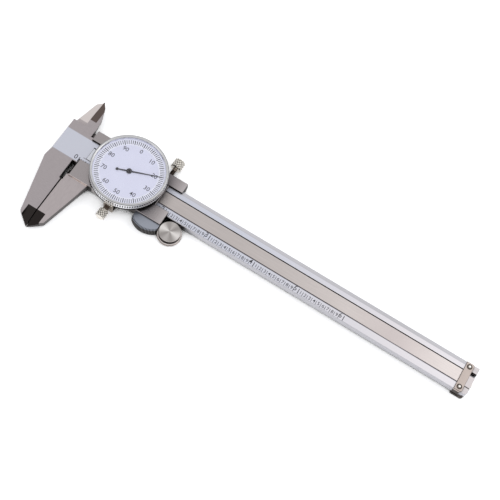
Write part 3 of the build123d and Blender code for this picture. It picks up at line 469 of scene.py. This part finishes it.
# Painted shadow: the seam at the rack's end is painted near black.
repaint(tree, shader, patch(tree, xyz, X=rack_end, Y=rack_seam_shadow), "#1F1B1A", 0.5)
dress(rack_steel, "rack_bar", "rack_pins")
cover_steel, tree, xyz, shader = metal_tree(
    "brushed_cover_strip", "#B5AEAC", 0.32, (14.0, 0.3, 0.5), side="#4A4644", spread=0.14, bump=0.3
)
lower_edge_shade = (-3.8, -3.55, 0.05)
pale_reflection_start = (-30, -15, 1.5)
warm_stretch = (138, 168, 12)
# Painted shade along the strip's lower edge, and a painted reflection of the scale band at its left end.
repaint(tree, shader, patch(tree, xyz, Y=lower_edge_shade), "#464144", 0.5)
repaint(tree, shader, patch(tree, xyz, X=pale_reflection_start), "#CDCFD7", 0.4)
repaint(tree, shader, patch(tree, xyz, X=warm_stretch), "#A8A09F", 0.32)
shade_corners(tree, shader, 0.12)
dress(cover_steel, "rack_cover_strip")


# Cross-plate at the beam's end: a nickel-plated strap with two bright round-head rivets, which also
# holds the serrated rear block that closes the depth rod's groove. The plate is brushed lengthwise,
# and each rivet has a painted highlight on its crown and painted shade round its foot; the plate's
# and the block's sides are painted darker as shade.
def away_from(tree, xyz, centre):
    """Distance from an axis; centre is its place in mm, with None along the direction it runs in."""
    across = {name: xyz.outputs[name] for name, value in zip("XYZ", centre) if value is not None}
    flat = add(tree, "ShaderNodeCombineXYZ", across)
    middle = [0.0 if value is None else value * mm for value in centre]
    away = add(tree, "ShaderNodeVectorMath", {0: flat.outputs[0], 1: middle}, operation="DISTANCE")
    return away.outputs["Value"]


rivet_x = 190.84
rivet_centres = [(rivet_x, y, None) for y in (-5.8, 5.8)]
rivet_foot_shade = (0, 1.4, 0.1)
rivet_crown_highlight = (-1, 0.62, 0.1)
bridge_nickel, tree, xyz, shader = metal_tree(
    "warm_nickel_strap", "#958B86", 0.3, (0.05, 1.2, 0.4), side="#3B3531"
)
# Painted shade round each rivet's foot.
for centre in rivet_centres:
    repaint(tree, shader, zone(tree, away_from(tree, xyz, centre), *rivet_foot_shade), "#4A433E", 0.5)
dress(bridge_nickel, "end_bridge_plate")
round_edges("end_bridge_plate", 0.1)
rivet_bright, tree, xyz, shader = metal_tree(
    "polished_rivet_steel", "#6B645E", 0.2, (0.3, 0.3, 0.3), spread=0.05
)
# Painted highlight on each rivet's crown.
for centre in rivet_centres:
    repaint(tree, shader, zone(tree, away_from(tree, xyz, centre), *rivet_crown_highlight), "#E6E2DE", 0.16)
dress(rivet_bright, "end_rivets")
block_steel = metal_tree("milled_block_steel", "#6B6560", 0.4, (0.05, 0.6, 0.8), side="#4A4541")[0]
dress(block_steel, "rear_end_block")
round_edges("rear_end_block", 0.08)


# Slider: jaw, inside blade, front lips, rails and thumb rest are one ground piece of stainless
# steel. The lips are ground across the beam; light and shade on their faces, sides and ends, the
# shadows under them, at the jaw's foot and in corners by taller parts, the highlight along the jaw's
# step and the dark tip bevel are painted on. The thumb rest is left darker, with a ribbed edge whose
# notches are painted dark as shade, and the moving blade is painted light as a reflection.
def bearing_from(tree, xyz, centre):
    """Angle round an upright axis through centre, in mm."""
    offsets = [
        add(tree, "ShaderNodeMath", {0: xyz.outputs[axis], 1: value * mm}, operation="SUBTRACT").outputs[0]
        for axis, value in zip("XY", centre)
    ]
    return add(tree, "ShaderNodeMath", {0: offsets[1], 1: offsets[0]}, operation="ARCTAN2").outputs[0]


lip_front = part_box("slider_body")[1][2] / mm
lip_painted_light_end = (25, 30, 2)
lip_shade_by_bezel = (10, 21, 2)
lip_sides = (5.4, 6.6, 0.03)
under_lips = (-30, -10, 0.1)
upper_lip_shadow_line = (6.2, 6.62, 0.05)
lip_above_beam = (5.47, 7, 0.02)
highlit_side = (-26, -13.8, 0.1)
shaded_side = (-13.8, -11.2, 0.1)
lit_side = (-11.2, -1.7, 0.2)
step_height = (-16.6, -15.9, 0.08)
step_length = (-22.5, -14, 0.3)
foot_width = (-25.9, -24.5, 0.08)
foot_length = (-15.9, -5.4, 0.1)
foot_depth = (3, 7, 0.02)
rest_width = (10.5, 30, 0.1)
rest_height = (-30, -9.5, 0.1)
moving_blade_height = (14.2, 30, 0.2)
moving_blade_width = (-60, -28, 0.1)
moving_blade_depth = (3, 7, 0.1)
slider_steel, tree, xyz, shader = metal_tree(
    "ground_slider_stainless", "#ABA3A4", 0.33, (0.3, 2.5, 0.8), side="#5F5A59", spread=0.16, bump=0.25
)
lip_face = patch(tree, xyz, Z=(lip_front - 0.05, lip_front + 0.05, 0.01))
low_faces = patch(tree, xyz, Z=(beam_front - 0.05, beam_front + 0.05, 0.01))
normal = add(tree, "ShaderNodeSeparateXYZ", {0: add(tree, "ShaderNodeTexCoord").outputs["Normal"]})
end_face = add(tree, "ShaderNodeMapRange", {0: normal.outputs["X"], 1: 0.97, 2: 0.99}).outputs[0]
looks_down = add(tree, "ShaderNodeMapRange", {0: normal.outputs["Y"], 1: -0.9, 2: -0.6, 3: 1.0, 4: 0.0})
downward = overlap(tree, looks_down.outputs[0], patch(tree, xyz, Y=under_lips))
# Painted light and shade: the lips lighter at their ends and darker by the bezel, their ends in shade, black
# shadow lines under the upper lip and at the jaw's foot, lower sides painted as highlight, shade or light,
# and a highlight along the jaw's step.
for mask, colour, roughness in (
    (lip_face, "#999394", 0.27),
    (overlap(tree, lip_face, patch(tree, xyz, X=lip_painted_light_end)), "#B3ADAE", 0.27),
    (overlap(tree, lip_face, patch(tree, xyz, X=lip_shade_by_bezel)), "#837E80", 0.27),
    (end_face, "#2E2B2A", 0.5),
    (patch(tree, xyz, Y=upper_lip_shadow_line, Z=lip_above_beam), "#1B1918", 0.6),
    (overlap(tree, downward, patch(tree, xyz, Z=lip_sides, X=highlit_side)), "#E8DCD8", 0.3),
    (overlap(tree, downward, patch(tree, xyz, X=shaded_side)), "#2A2625", 0.4),
    (overlap(tree, downward, patch(tree, xyz, X=lit_side)), "#B5B0AF", 0.35),
    (overlap(tree, low_faces, patch(tree, xyz, Y=step_height, X=step_length)), "#DED2CE", 0.3),
    (patch(tree, xyz, Z=foot_depth, X=foot_width, Y=foot_length), "#1B1918", 0.6),
    (overlap(tree, low_faces, patch(tree, xyz, Y=rest_height, X=rest_width)), "#9498A2", 0.42),
):
    repaint(tree, shader, mask, colour, roughness)

thumb_middle = (20, -10, None)
rib_depth = (9.4, 10.6, 0.06)
rib_height = (-21, -15, 0.1)
first_rib = 231
last_rib = 308
rib_gaps = 19
ribs_per_turn = 360 * rib_gaps / (last_rib - first_rib)
rib_phase = -math.radians(first_rib) * ribs_per_turn
bearing = bearing_from(tree, xyz, thumb_middle)
counted = add(tree, "ShaderNodeMath", {0: bearing, 1: ribs_per_turn, 2: rib_phase}, operation="MULTIPLY_ADD")
wave = add(tree, "ShaderNodeMath", {0: counted.outputs[0]}, operation="COSINE")
in_notch = add(tree, "ShaderNodeMapRange", {0: wave.outputs[0], 1: -0.1, 2: 0.3})
rest_edge = zone(tree, away_from(tree, xyz, thumb_middle), *rib_depth)
ribbed = overlap(tree, in_notch.outputs[0], rest_edge, patch(tree, xyz, Y=rib_height))
moving_blade = patch(tree, xyz, Y=moving_blade_height, X=moving_blade_width, Z=moving_blade_depth)
slider_tip = tip_bevel(tree, xyz, slider_face - 0.5, slider_face + tip_width)
# Painted shade: the notches of the thumb rest's ribbed edge are painted near black.
repaint(tree, shader, ribbed, "#161516", 0.6)
# Painted reflection: the moving blade's facet is painted light and the jaw's tip bevel dark.
repaint(tree, shader, moving_blade, "#CFC7C5", 0.3)
repaint(tree, shader, slider_tip, "#2A2625", 0.3)
shade_corners(tree, shader, 0.2)
dress(slider_steel, "slider_body")
round_edges("slider_body", 0.12)

# Behind the slider: a brass gib with its set screws above the beam, a brass pad under the lock screw,
# a back plate on four countersunk screws, the depth rod and the roller's sheet arm. The brass is
# rolled, the screws are blackened and dull, the plate and arm are ground and the rod is drawn bright.
gib_brass = metal_tree("rolled_gib_brass", "#B5935A", 0.35, (1.5, 0.3, 0.1))[0]
dress(gib_brass, "gib_strip", "lock_pad")
screw_steel = metal_tree("blackened_screw_steel", "#5B5957", 0.4, (0.2, 0.2, 0.2))[0]
dress(screw_steel, "gib_screws", "back_plate_screws", "bracket_screws", "case_screws", "roller_axle")
dress(screw_steel, "movement_plate_screws", "depth_rod_pins")
# The plate's and the arm's sideways faces are painted darker as shade.
plate_steel = metal_tree("ground_plate_steel", "#A29D9B", 0.36, (1.2, 0.05, 0.3), side="#6E6966")[0]
dress(plate_steel, "back_plate", "roller_bracket")
round_edges("back_plate", 0.1)
rod_steel = metal_tree("drawn_rod_steel", "#B2ADA8", 0.28, (4.0, 0.06, 0.06))[0]
dress(rod_steel, "depth_rod")

# Thumb roller: turned from stainless steel on the lathe, so its face shows fine rings, and a highlight
# that fans out from the middle is painted on it. Its wheel rolls on the beam's lower edge with a flange
# behind the beam, and a neck painted dark as shade joins the wheel to the knob in front.
roller_low, roller_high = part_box("thumb_roller")
roller_centre = [(low + high) / 2 / mm for low, high in zip(roller_low[:2], roller_high[:2])] + [None]
roller_face = roller_high[2] / mm
neck_low = 3.45
neck_high = roller_face - 0.85
ring_step = 0.12 * mm
ring_depth = 0.01 * mm
roller_roughness = 0.3
fan_highlight_middle = 0.34
fan_highlight_waves = ((2, 0.37), (4, 0.26))
roller_steel, tree = new_tree("turned_roller_steel")
place = add(tree, "ShaderNodeTexCoord")
xyz = add(tree, "ShaderNodeSeparateXYZ", {0: place.outputs["Object"]})
away = away_from(tree, xyz, roller_centre)
steps = add(tree, "ShaderNodeMath", {0: away, 1: 1 / ring_step}, operation="MULTIPLY")
noise = {"W": steps.outputs[0], "Scale": 1.0, "Detail": 3.0}
rings = add(tree, "ShaderNodeTexNoise", noise, noise_dimensions="1D").outputs[0]
dark, light = shades("#B9B2AF", 0.12)
ringed = add(tree, "ShaderNodeMix", {0: rings, 6: dark, 7: light}, data_type="RGBA")
raised = add(tree, "ShaderNodeBump", {"Height": rings, "Strength": 0.2, "Distance": ring_depth})
rough = add(tree, "ShaderNodeMapRange", {0: rings, 3: roller_roughness - 0.04, 4: roller_roughness + 0.04})
around = add(tree, "ShaderNodeTangent", direction_type="RADIAL", axis="Z")
shader = add(
    tree,
    "ShaderNodeBsdfPrincipled",
    {
        "Base Color": ringed.outputs[2],
        "Metallic": 1.0,
        "Roughness": rough.outputs[0],
        "Anisotropic": 0.8,
        "Tangent": around.outputs[0],
        "Normal": raised.outputs[0],
    },
)
add(tree, "ShaderNodeOutputMaterial", {0: shader.outputs[0]})
# Painted shade on the neck under the knob.
repaint(tree, shader, patch(tree, xyz, Z=(neck_low, neck_high, 0.03)), "#2A2725", 0.35)
# Painted highlight: a fan of light and dark round the face's middle.
bearing = bearing_from(tree, xyz, roller_centre)
fan_highlight = fan_highlight_middle
for turns, swing in fan_highlight_waves:
    angle = add(tree, "ShaderNodeMath", {0: bearing, 1: turns}, operation="MULTIPLY")
    wave = add(tree, "ShaderNodeMath", {0: angle.outputs[0]}, operation="COSINE")
    summed = {0: wave.outputs[0], 1: swing, 2: fan_highlight}
    fan_highlight = add(tree, "ShaderNodeMath", summed, operation="MULTIPLY_ADD").outputs[0]
painted_sheen = add(tree, "ShaderNodeMix", {0: fan_highlight, 6: linear("#96918F"), 7: linear("#DDD9D7")}, data_type="RGBA")
face = patch(tree, xyz, Z=(roller_face - 0.3, roller_face + 1, 0.02))
repaint(tree, shader, face, painted_sheen.outputs[2], 0.25)
dress(roller_steel, "thumb_roller")


# Knurled screws: the slider's lock screw above and the bezel's lock screw below, turned from
# nickel-plated brass, each with a barrel rolled to a diamond knurl and a short neck. The knurl is
# drawn about twice as coarse as the real one, so that its bright points show, and its valleys are
# painted dark as shade.
def turned_shape(profile, sides, relief):
    """Turns rows of (radius, height) in mm about Z; relief gives how deep a row is cut at an angle."""
    shape = bmesh.new()
    rows = []
    for radius, height in profile:
        row = []
        for index in range(sides):
            angle = math.tau * index / sides
            reach = (radius - relief(angle, radius, height)) * mm
            row.append(shape.verts.new((reach * math.cos(angle), reach * math.sin(angle), height * mm)))
        rows.append(row)
    for low, high in zip(rows, rows[1:] + rows[:1]):
        for index in range(sides):
            after = (index + 1) % sides
            shape.faces.new((low[index], low[after], high[after], high[index]))
    return shape


def steps_between(low, high, count):
    """Evenly spaced values from low to high, both included."""
    return [low + (high - low) * index / count for index in range(count + 1)]


def smooth_mesh(shape, name, place, sharp=35):
    """A finished mesh that shades smoothly and stays sharp at edges of more than sharp degrees."""
    bmesh.ops.remove_doubles(shape, verts=shape.verts, dist=0.0005 * mm)
    bmesh.ops.dissolve_degenerate(shape, edges=shape.edges, dist=0.0002 * mm)
    mesh = finished_mesh(shape, name)
    mesh.transform(place)
    mesh.shade_smooth()
    mesh.set_sharp_from_angle(angle=math.radians(sharp))
    return mesh


def diamond_knurl(radius, low, high):
    """Relief of a diamond knurl on a barrel between two heights, and how many diamonds go round it."""
    around = round(math.tau * radius / diamond_pitch)

    def relief(angle, row_radius, height):
        if row_radius < radius - 0.01 or not low <= height <= high:
            return 0.0
        turn = angle / math.tau * around
        climb = height / diamond_pitch
        first = abs((turn + climb) % 1.0 - 0.5)
        second = abs((turn - climb) % 1.0 - 0.5)
        return diamond_depth * (1 - 2 * min(first, second)) ** 2

    return relief, around


def darken_knurl(tree, shader, xyz, centre, radius, depth, colour):
    """Paints shade into the bottoms of a knurl about an axis."""
    away = away_from(tree, xyz, centre)
    shallow = (radius - depth * 0.45) * mm
    bottom = (radius - depth * 0.75) * mm
    deep = add(tree, "ShaderNodeMapRange", {0: away, 1: bottom, 2: shallow, 3: 1.0, 4: 0.0})
    outside = zone(tree, away, radius - depth - 0.05, radius + 1, 0.02)
    repaint(tree, shader, overlap(tree, deep.outputs[0], outside), colour, 0.5)


def knurled_screw(radius, head_low, head_high, stem_radius, collar):
    """A screw that stands on Z = 0, threaded below and knurled between head_low and head_high."""
    first_root = 0.3
    plain_stem = 1.5
    knurl_low = head_low + head_edge + 0.1
    knurl_high = head_high - head_edge - 0.1
    profile = [(0, 0), (stem_radius - 0.25, 0)]
    for index in range(round((head_low - plain_stem) / thread_pitch)):
        root = first_root + index * thread_pitch
        crest = root + thread_rise
        profile += [(stem_radius - thread_depth, root), (stem_radius, crest)]
    profile.append((stem_radius, crest + 0.2))
    if collar:
        collar_radius, collar_length = collar
        profile += [(stem_radius, head_low - collar_length), (collar_radius, head_low - collar_length)]
        profile.append((collar_radius, head_low))
    else:
        profile.append((stem_radius, head_low))
    profile += [(radius - head_edge, head_low), (radius, head_low + head_edge)]
    profile += [(radius, height) for height in steps_between(knurl_low, knurl_high, 40)]
    profile += [(radius, head_high - head_edge), (radius - head_edge, head_high), (radius - 1.0, head_high)]
    profile += [(radius - 1.15, head_high - head_recess), (0, head_high - head_recess)]
    relief, around = diamond_knurl(radius, knurl_low, knurl_high)
    return turned_shape(profile, around * 12, relief)


def fit_knurled_screw(node, body, radius, head_length, stem_radius, heading, neck_start, collar=None):
    """Puts a knurled screw in a CAD node's place; heading is 1 where its head looks to +Y, or -1."""
    low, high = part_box(node)
    x, z = [(low[i] + high[i]) / 2 for i in (0, 2)]
    foot = low[1] if heading > 0 else high[1]
    length = (high[1] - low[1]) / mm
    shape = knurled_screw(radius, length - head_length, length, stem_radius, collar)
    place = Matrix.Translation((x, foot, z)) @ Matrix.Rotation(math.radians(-90 * heading), 4, "X")
    mesh = smooth_mesh(shape, body, place)
    nickel, tree, xyz, shader = metal_tree(body + "_nickel", "#E2DDD5", 0.2, (0.25, 0.25, 0.25), spread=0.08)
    # Painted shade in the knurl's valleys.
    darken_knurl(tree, shader, xyz, (x / mm, None, z / mm), radius, diamond_depth, "#14110F")
    neck_end = foot / mm + heading * (length - head_length - 0.1)
    neck = sorted((neck_start, neck_end))
    repaint(tree, shader, patch(tree, xyz, Y=(*neck, 0.1)), "#6E645C", 0.35)
    own("knurled_" + body, mesh, nickel, body, (node,))


diamond_pitch = 1.4
diamond_depth = 0.26
thread_pitch = 0.35
thread_rise = 0.17
thread_depth = 0.16
head_edge = 0.35
head_recess = 0.12
fit_knurled_screw(
    "slider_lock_screw",
    "lock_screw",
    radius=2.95,
    head_length=5.0,
    stem_radius=1.15,
    heading=1,
    neck_start=12.4,
)
fit_knurled_screw(
    "bezel_lock_screw",
    "clamp_screw",
    radius=2.5,
    head_length=4.6,
    stem_radius=1.0,
    heading=-1,
    neck_start=-20,
    collar=(1.4, 1.4),
)

# Clip: a small strap of nickel plate on the lower screw, which hooks a finger into the bezel's groove.
# It is polished before plating, so its front is bright, and its sides are painted a darker warm grey as
# shade.
clip_nickel = metal_tree("bright_clip_nickel", "#CFC8BE", 0.22, (0.3, 0.3, 0.3), side="#8B8178")[0]
dress(clip_nickel, "bezel_clamp")
round_edges("bezel_clamp", 0.06)

# Dial case and movement: a cup screwed to the slider, painted near black as the shade under the
# bezel, holds a brass movement plate, two stages of brass wheels on polished steel arbors and a brass
# bridge. The dial hides them all, so that only the case's dark edge is seen, under the bezel.
# Painted shade: the case is coloured near black.
case_shade_black = metal_tree("shade_black_case_brass", "#2E2C2B", 0.4, (0.4, 0.4, 0.4))[0]
dress(case_shade_black, "dial_case")
train_brass = metal_tree("milled_train_brass", "#C2A063", 0.3, (0.1, 0.9, 0.3))[0]
dress(train_brass, "movement_plate", "movement_bridge", "drive_wheel", "antilash_wheel", "intermediate_wheel")
arbor_steel = metal_tree("polished_arbor_steel", "#B9B7B4", 0.2, (0.1, 0.1, 0.6))[0]
dress(arbor_steel, "movement_pillars", "drive_pinion", "drive_arbor", "intermediate_pinion")
dress(arbor_steel, "bridge_screws", "antilash_spring")

# Bezel: a chromed brass ring with a rolled straight knurl on its side, which turns on the case. A
# groove below the knurl takes the clip's finger. It carries the dial, a spacer and the crystal. The
# chrome is satin; the knurl's band is painted near white as light, its valleys near black as shade,
# and the ring below the groove is painted dark as shade.
bezel_low, bezel_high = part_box("bezel_ring")
crystal_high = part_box("crystal")[1]
bezel_radius = bezel_high[0] / mm
bezel_bore = crystal_high[0] / mm
bezel_opening = bezel_bore - 0.35
bezel_bottom = bezel_low[2] / mm
bezel_front = bezel_high[2] / mm
crystal_top = crystal_high[2] / mm
ridges = 100
sides_per_ridge = 8
ridge_depth = 0.3
ridge_fade = 0.25
knurl_low = bezel_bottom + 1.5
knurl_high = bezel_front - 0.9
groove_low = bezel_bottom + 0.6
groove_high = groove_low + 0.7
groove_depth = 0.5
groove_corner = 0.08
foot_corner = 0.15
rolled_radius = 0.6


def ridge_relief(angle, radius, height):
    """Depth of the straight knurl, which runs out softly at both ends."""
    if radius < bezel_radius - 0.01 or not knurl_low - 0.01 <= height <= knurl_high + 0.01:
        return 0.0
    fade = min(1.0, (height - knurl_low) / ridge_fade, (knurl_high - height) / ridge_fade)
    return ridge_depth * fade * math.sin(angle * ridges / 2) ** 2


bezel_profile = [
    (bezel_bore, bezel_bottom),
    (bezel_radius - foot_corner, bezel_bottom),
    (bezel_radius, bezel_bottom + foot_corner),
    (bezel_radius, groove_low - groove_corner),
    (bezel_radius - groove_corner, groove_low),
    (bezel_radius - groove_depth, groove_low),
    (bezel_radius - groove_depth, groove_high),
    (bezel_radius - groove_corner, groove_high),
    (bezel_radius, groove_high + groove_corner),
]
bezel_profile += [(bezel_radius, height) for height in steps_between(knurl_low, knurl_high, 10)]
rolled_x = bezel_radius - rolled_radius
rolled_z = bezel_front - rolled_radius
for lean in steps_between(0, math.radians(90), 6):
    reach = rolled_x + rolled_radius * math.cos(lean)
    bezel_profile.append((reach, rolled_z + rolled_radius * math.sin(lean)))
bezel_profile += [
    (bezel_opening + 0.55, bezel_front),
    (bezel_opening + 0.45, bezel_front - 0.04),
    (bezel_opening, crystal_top + 0.1),
    (bezel_opening, crystal_top),
    (bezel_bore, crystal_top),
]
bezel_chrome, tree, xyz, shader = metal_tree(
    "satin_bezel_chrome", "#BEBEC0", 0.28, (0.5, 0.5, 0.5), spread=0.06
)
# Painted light on the knurl's band, painted shade in its valleys and below the groove.
repaint(tree, shader, patch(tree, xyz, Z=(groove_high, knurl_high + 0.4, 0.2)), "#F2F2F5", 0.3)
darken_knurl(tree, shader, xyz, (0, 0, None), bezel_radius, ridge_depth, "#161514")
repaint(tree, shader, patch(tree, xyz, Z=(0, groove_high, 0.1)), "#242221", 0.5)
bezel_shape = turned_shape(bezel_profile, ridges * sides_per_ridge, ridge_relief)
bezel_mesh = smooth_mesh(bezel_shape, "bezel", Matrix.Identity(4), sharp=40)
own("knurled_bezel", bezel_mesh, bezel_chrome, "bezel", ("bezel_ring",))
dress(bezel_chrome, "bezel_retaining_ring")


# Dial: a printed aluminium disc under the crystal, a hundred divisions for a tenth of an inch, with a
# numeral at every tenth division, in dark blue ink on pale enamel. The bezel has been turned a little
# to set the zero.
def enamel(name):
    """Baked pale paint with a faint mottle and a fine orange-peel surface."""
    mottle = 6 * mm
    peel = 0.08 * mm
    material, tree = new_tree(name)
    place = add(tree, "ShaderNodeTexCoord")
    where = place.outputs["Object"]
    cloud = add(tree, "ShaderNodeTexNoise", {"Vector": where, "Scale": 1 / mottle, "Detail": 6.0})
    tones = {0: cloud.outputs[0], 6: linear("#E4E5F2"), 7: linear("#ECEDF8")}
    mixed = add(tree, "ShaderNodeMix", tones, data_type="RGBA")
    fine = add(tree, "ShaderNodeTexNoise", {"Vector": where, "Scale": 1 / peel})
    raised = add(tree, "ShaderNodeBump", {"Height": fine.outputs[0], "Strength": 0.1, "Distance": 0.01 * mm})
    coated = {"Base Color": mixed.outputs[2], "Roughness": 0.4, "Normal": raised.outputs[0]}
    shader = add(tree, "ShaderNodeBsdfPrincipled", coated)
    add(tree, "ShaderNodeOutputMaterial", {0: shader.outputs[0]})
    return material, tree, place, shader


dial_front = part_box("dial_face")[1][2] / mm
dial_set = math.radians(4.1)
divisions = 100
printed = 0.015
tick_outer = 17.3
tenth_tick = {"length": 2.5, "half_width": 0.2}
fifth_tick = {"length": 2.3, "half_width": 0.2}
plain_tick = {"length": 2.1, "half_width": 0.15}
numeral_radius = 12.6
numeral_height = 2.2
track_radii = (14.6, 18, 0.2)
dial_enamel = enamel("baked_dial_enamel")[0]
dress(dial_enamel, "spacer_ring")
dial_paint, tree, place, shader = enamel("printed_dial_enamel")
xyz = add(tree, "ShaderNodeSeparateXYZ", {0: place.outputs["Object"]})
track = zone(tree, away_from(tree, xyz, (0, 0, None)), *track_radii)
base = shader.inputs["Base Color"].links[0].from_socket
whiter = add(tree, "ShaderNodeMix", {0: track, 6: base, 7: linear("#F6F7FC")}, data_type="RGBA")
tree.links.new(whiter.outputs[2], shader.inputs["Base Color"])
dress(dial_paint, "dial_face")
shape = bmesh.new()
for index in range(divisions):
    tick = plain_tick if index % 5 else fifth_tick if index % 10 else tenth_tick
    half = tick["half_width"]
    turn = dial_set - math.tau * index / divisions
    low = (-half, tick_outer - tick["length"], dial_front - printed)
    bar(shape, low, (half, tick_outer, dial_front + printed), turn)
for index in range(10):
    angle = dial_set - math.tau * index / 10
    middle = (-numeral_radius * math.sin(angle), numeral_radius * math.cos(angle), dial_front)
    numeral(shape, str(index * 10), numeral_height, middle, 2 * printed)
dial_ink = lacquer("dark_blue_dial_ink", "#1B1D2A", "#262938")
own("dial_print", finished_mesh(shape, "dial_print"), dial_ink, "bezel")

# Pointer: a thin steel hand in black lacquer, pressed on the centre arbor, whose end is blued dark
# above the hand's underside and polished below it.
pointer_black = lacquer("black_pointer_lacquer", "#1D1B20", "#2A282E")
dress(pointer_black, "pointer_hand")
pointer_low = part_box("pointer_hand")[0][2] / mm
blued_arbor, tree, xyz, shader = metal_tree("blued_arbor_end", "#B9B7B4", 0.2, (0.1, 0.1, 0.6))
repaint(tree, shader, patch(tree, xyz, Z=(pointer_low, pointer_low + 2, 0.02)), "#25242B", 0.45)
dress(blued_arbor, "centre_pinion")

# Crystal: a flat acrylic disc seated in the bezel, clear, with a soft glare where it meets the light.
# Its gloss is uneven from wiping, and lies on its outer faces alone.
wipe_size = 5 * mm
crystal_clear, tree = new_tree("clear_acrylic_crystal")
place = add(tree, "ShaderNodeTexCoord")
wipes = add(
    tree, "ShaderNodeTexNoise", {"Vector": place.outputs["Object"], "Scale": 1 / wipe_size, "Detail": 5.0}
)
haze = add(tree, "ShaderNodeMapRange", {0: wipes.outputs[0], 3: 0.02, 4: 0.09})
through = add(tree, "ShaderNodeBsdfTransparent", {"Color": linear("#FBFBFD")})
gloss = add(tree, "ShaderNodeBsdfGlossy", {"Color": linear("#FFFFFF"), "Roughness": haze.outputs[0]})
edge_on = add(tree, "ShaderNodeFresnel", {"IOR": 1.49})
facing = add(tree, "ShaderNodeNewGeometry")
outer = add(tree, "ShaderNodeMath", {0: 1.0, 1: facing.outputs["Backfacing"]}, operation="SUBTRACT")
mirrored = overlap(tree, edge_on.outputs[0], outer.outputs[0])
clear = add(tree, "ShaderNodeMixShader", {0: mirrored, 1: through.outputs[0], 2: gloss.outputs[0]})
add(tree, "ShaderNodeOutputMaterial", {0: clear.outputs[0]})
dress(crystal_clear, "crystal")
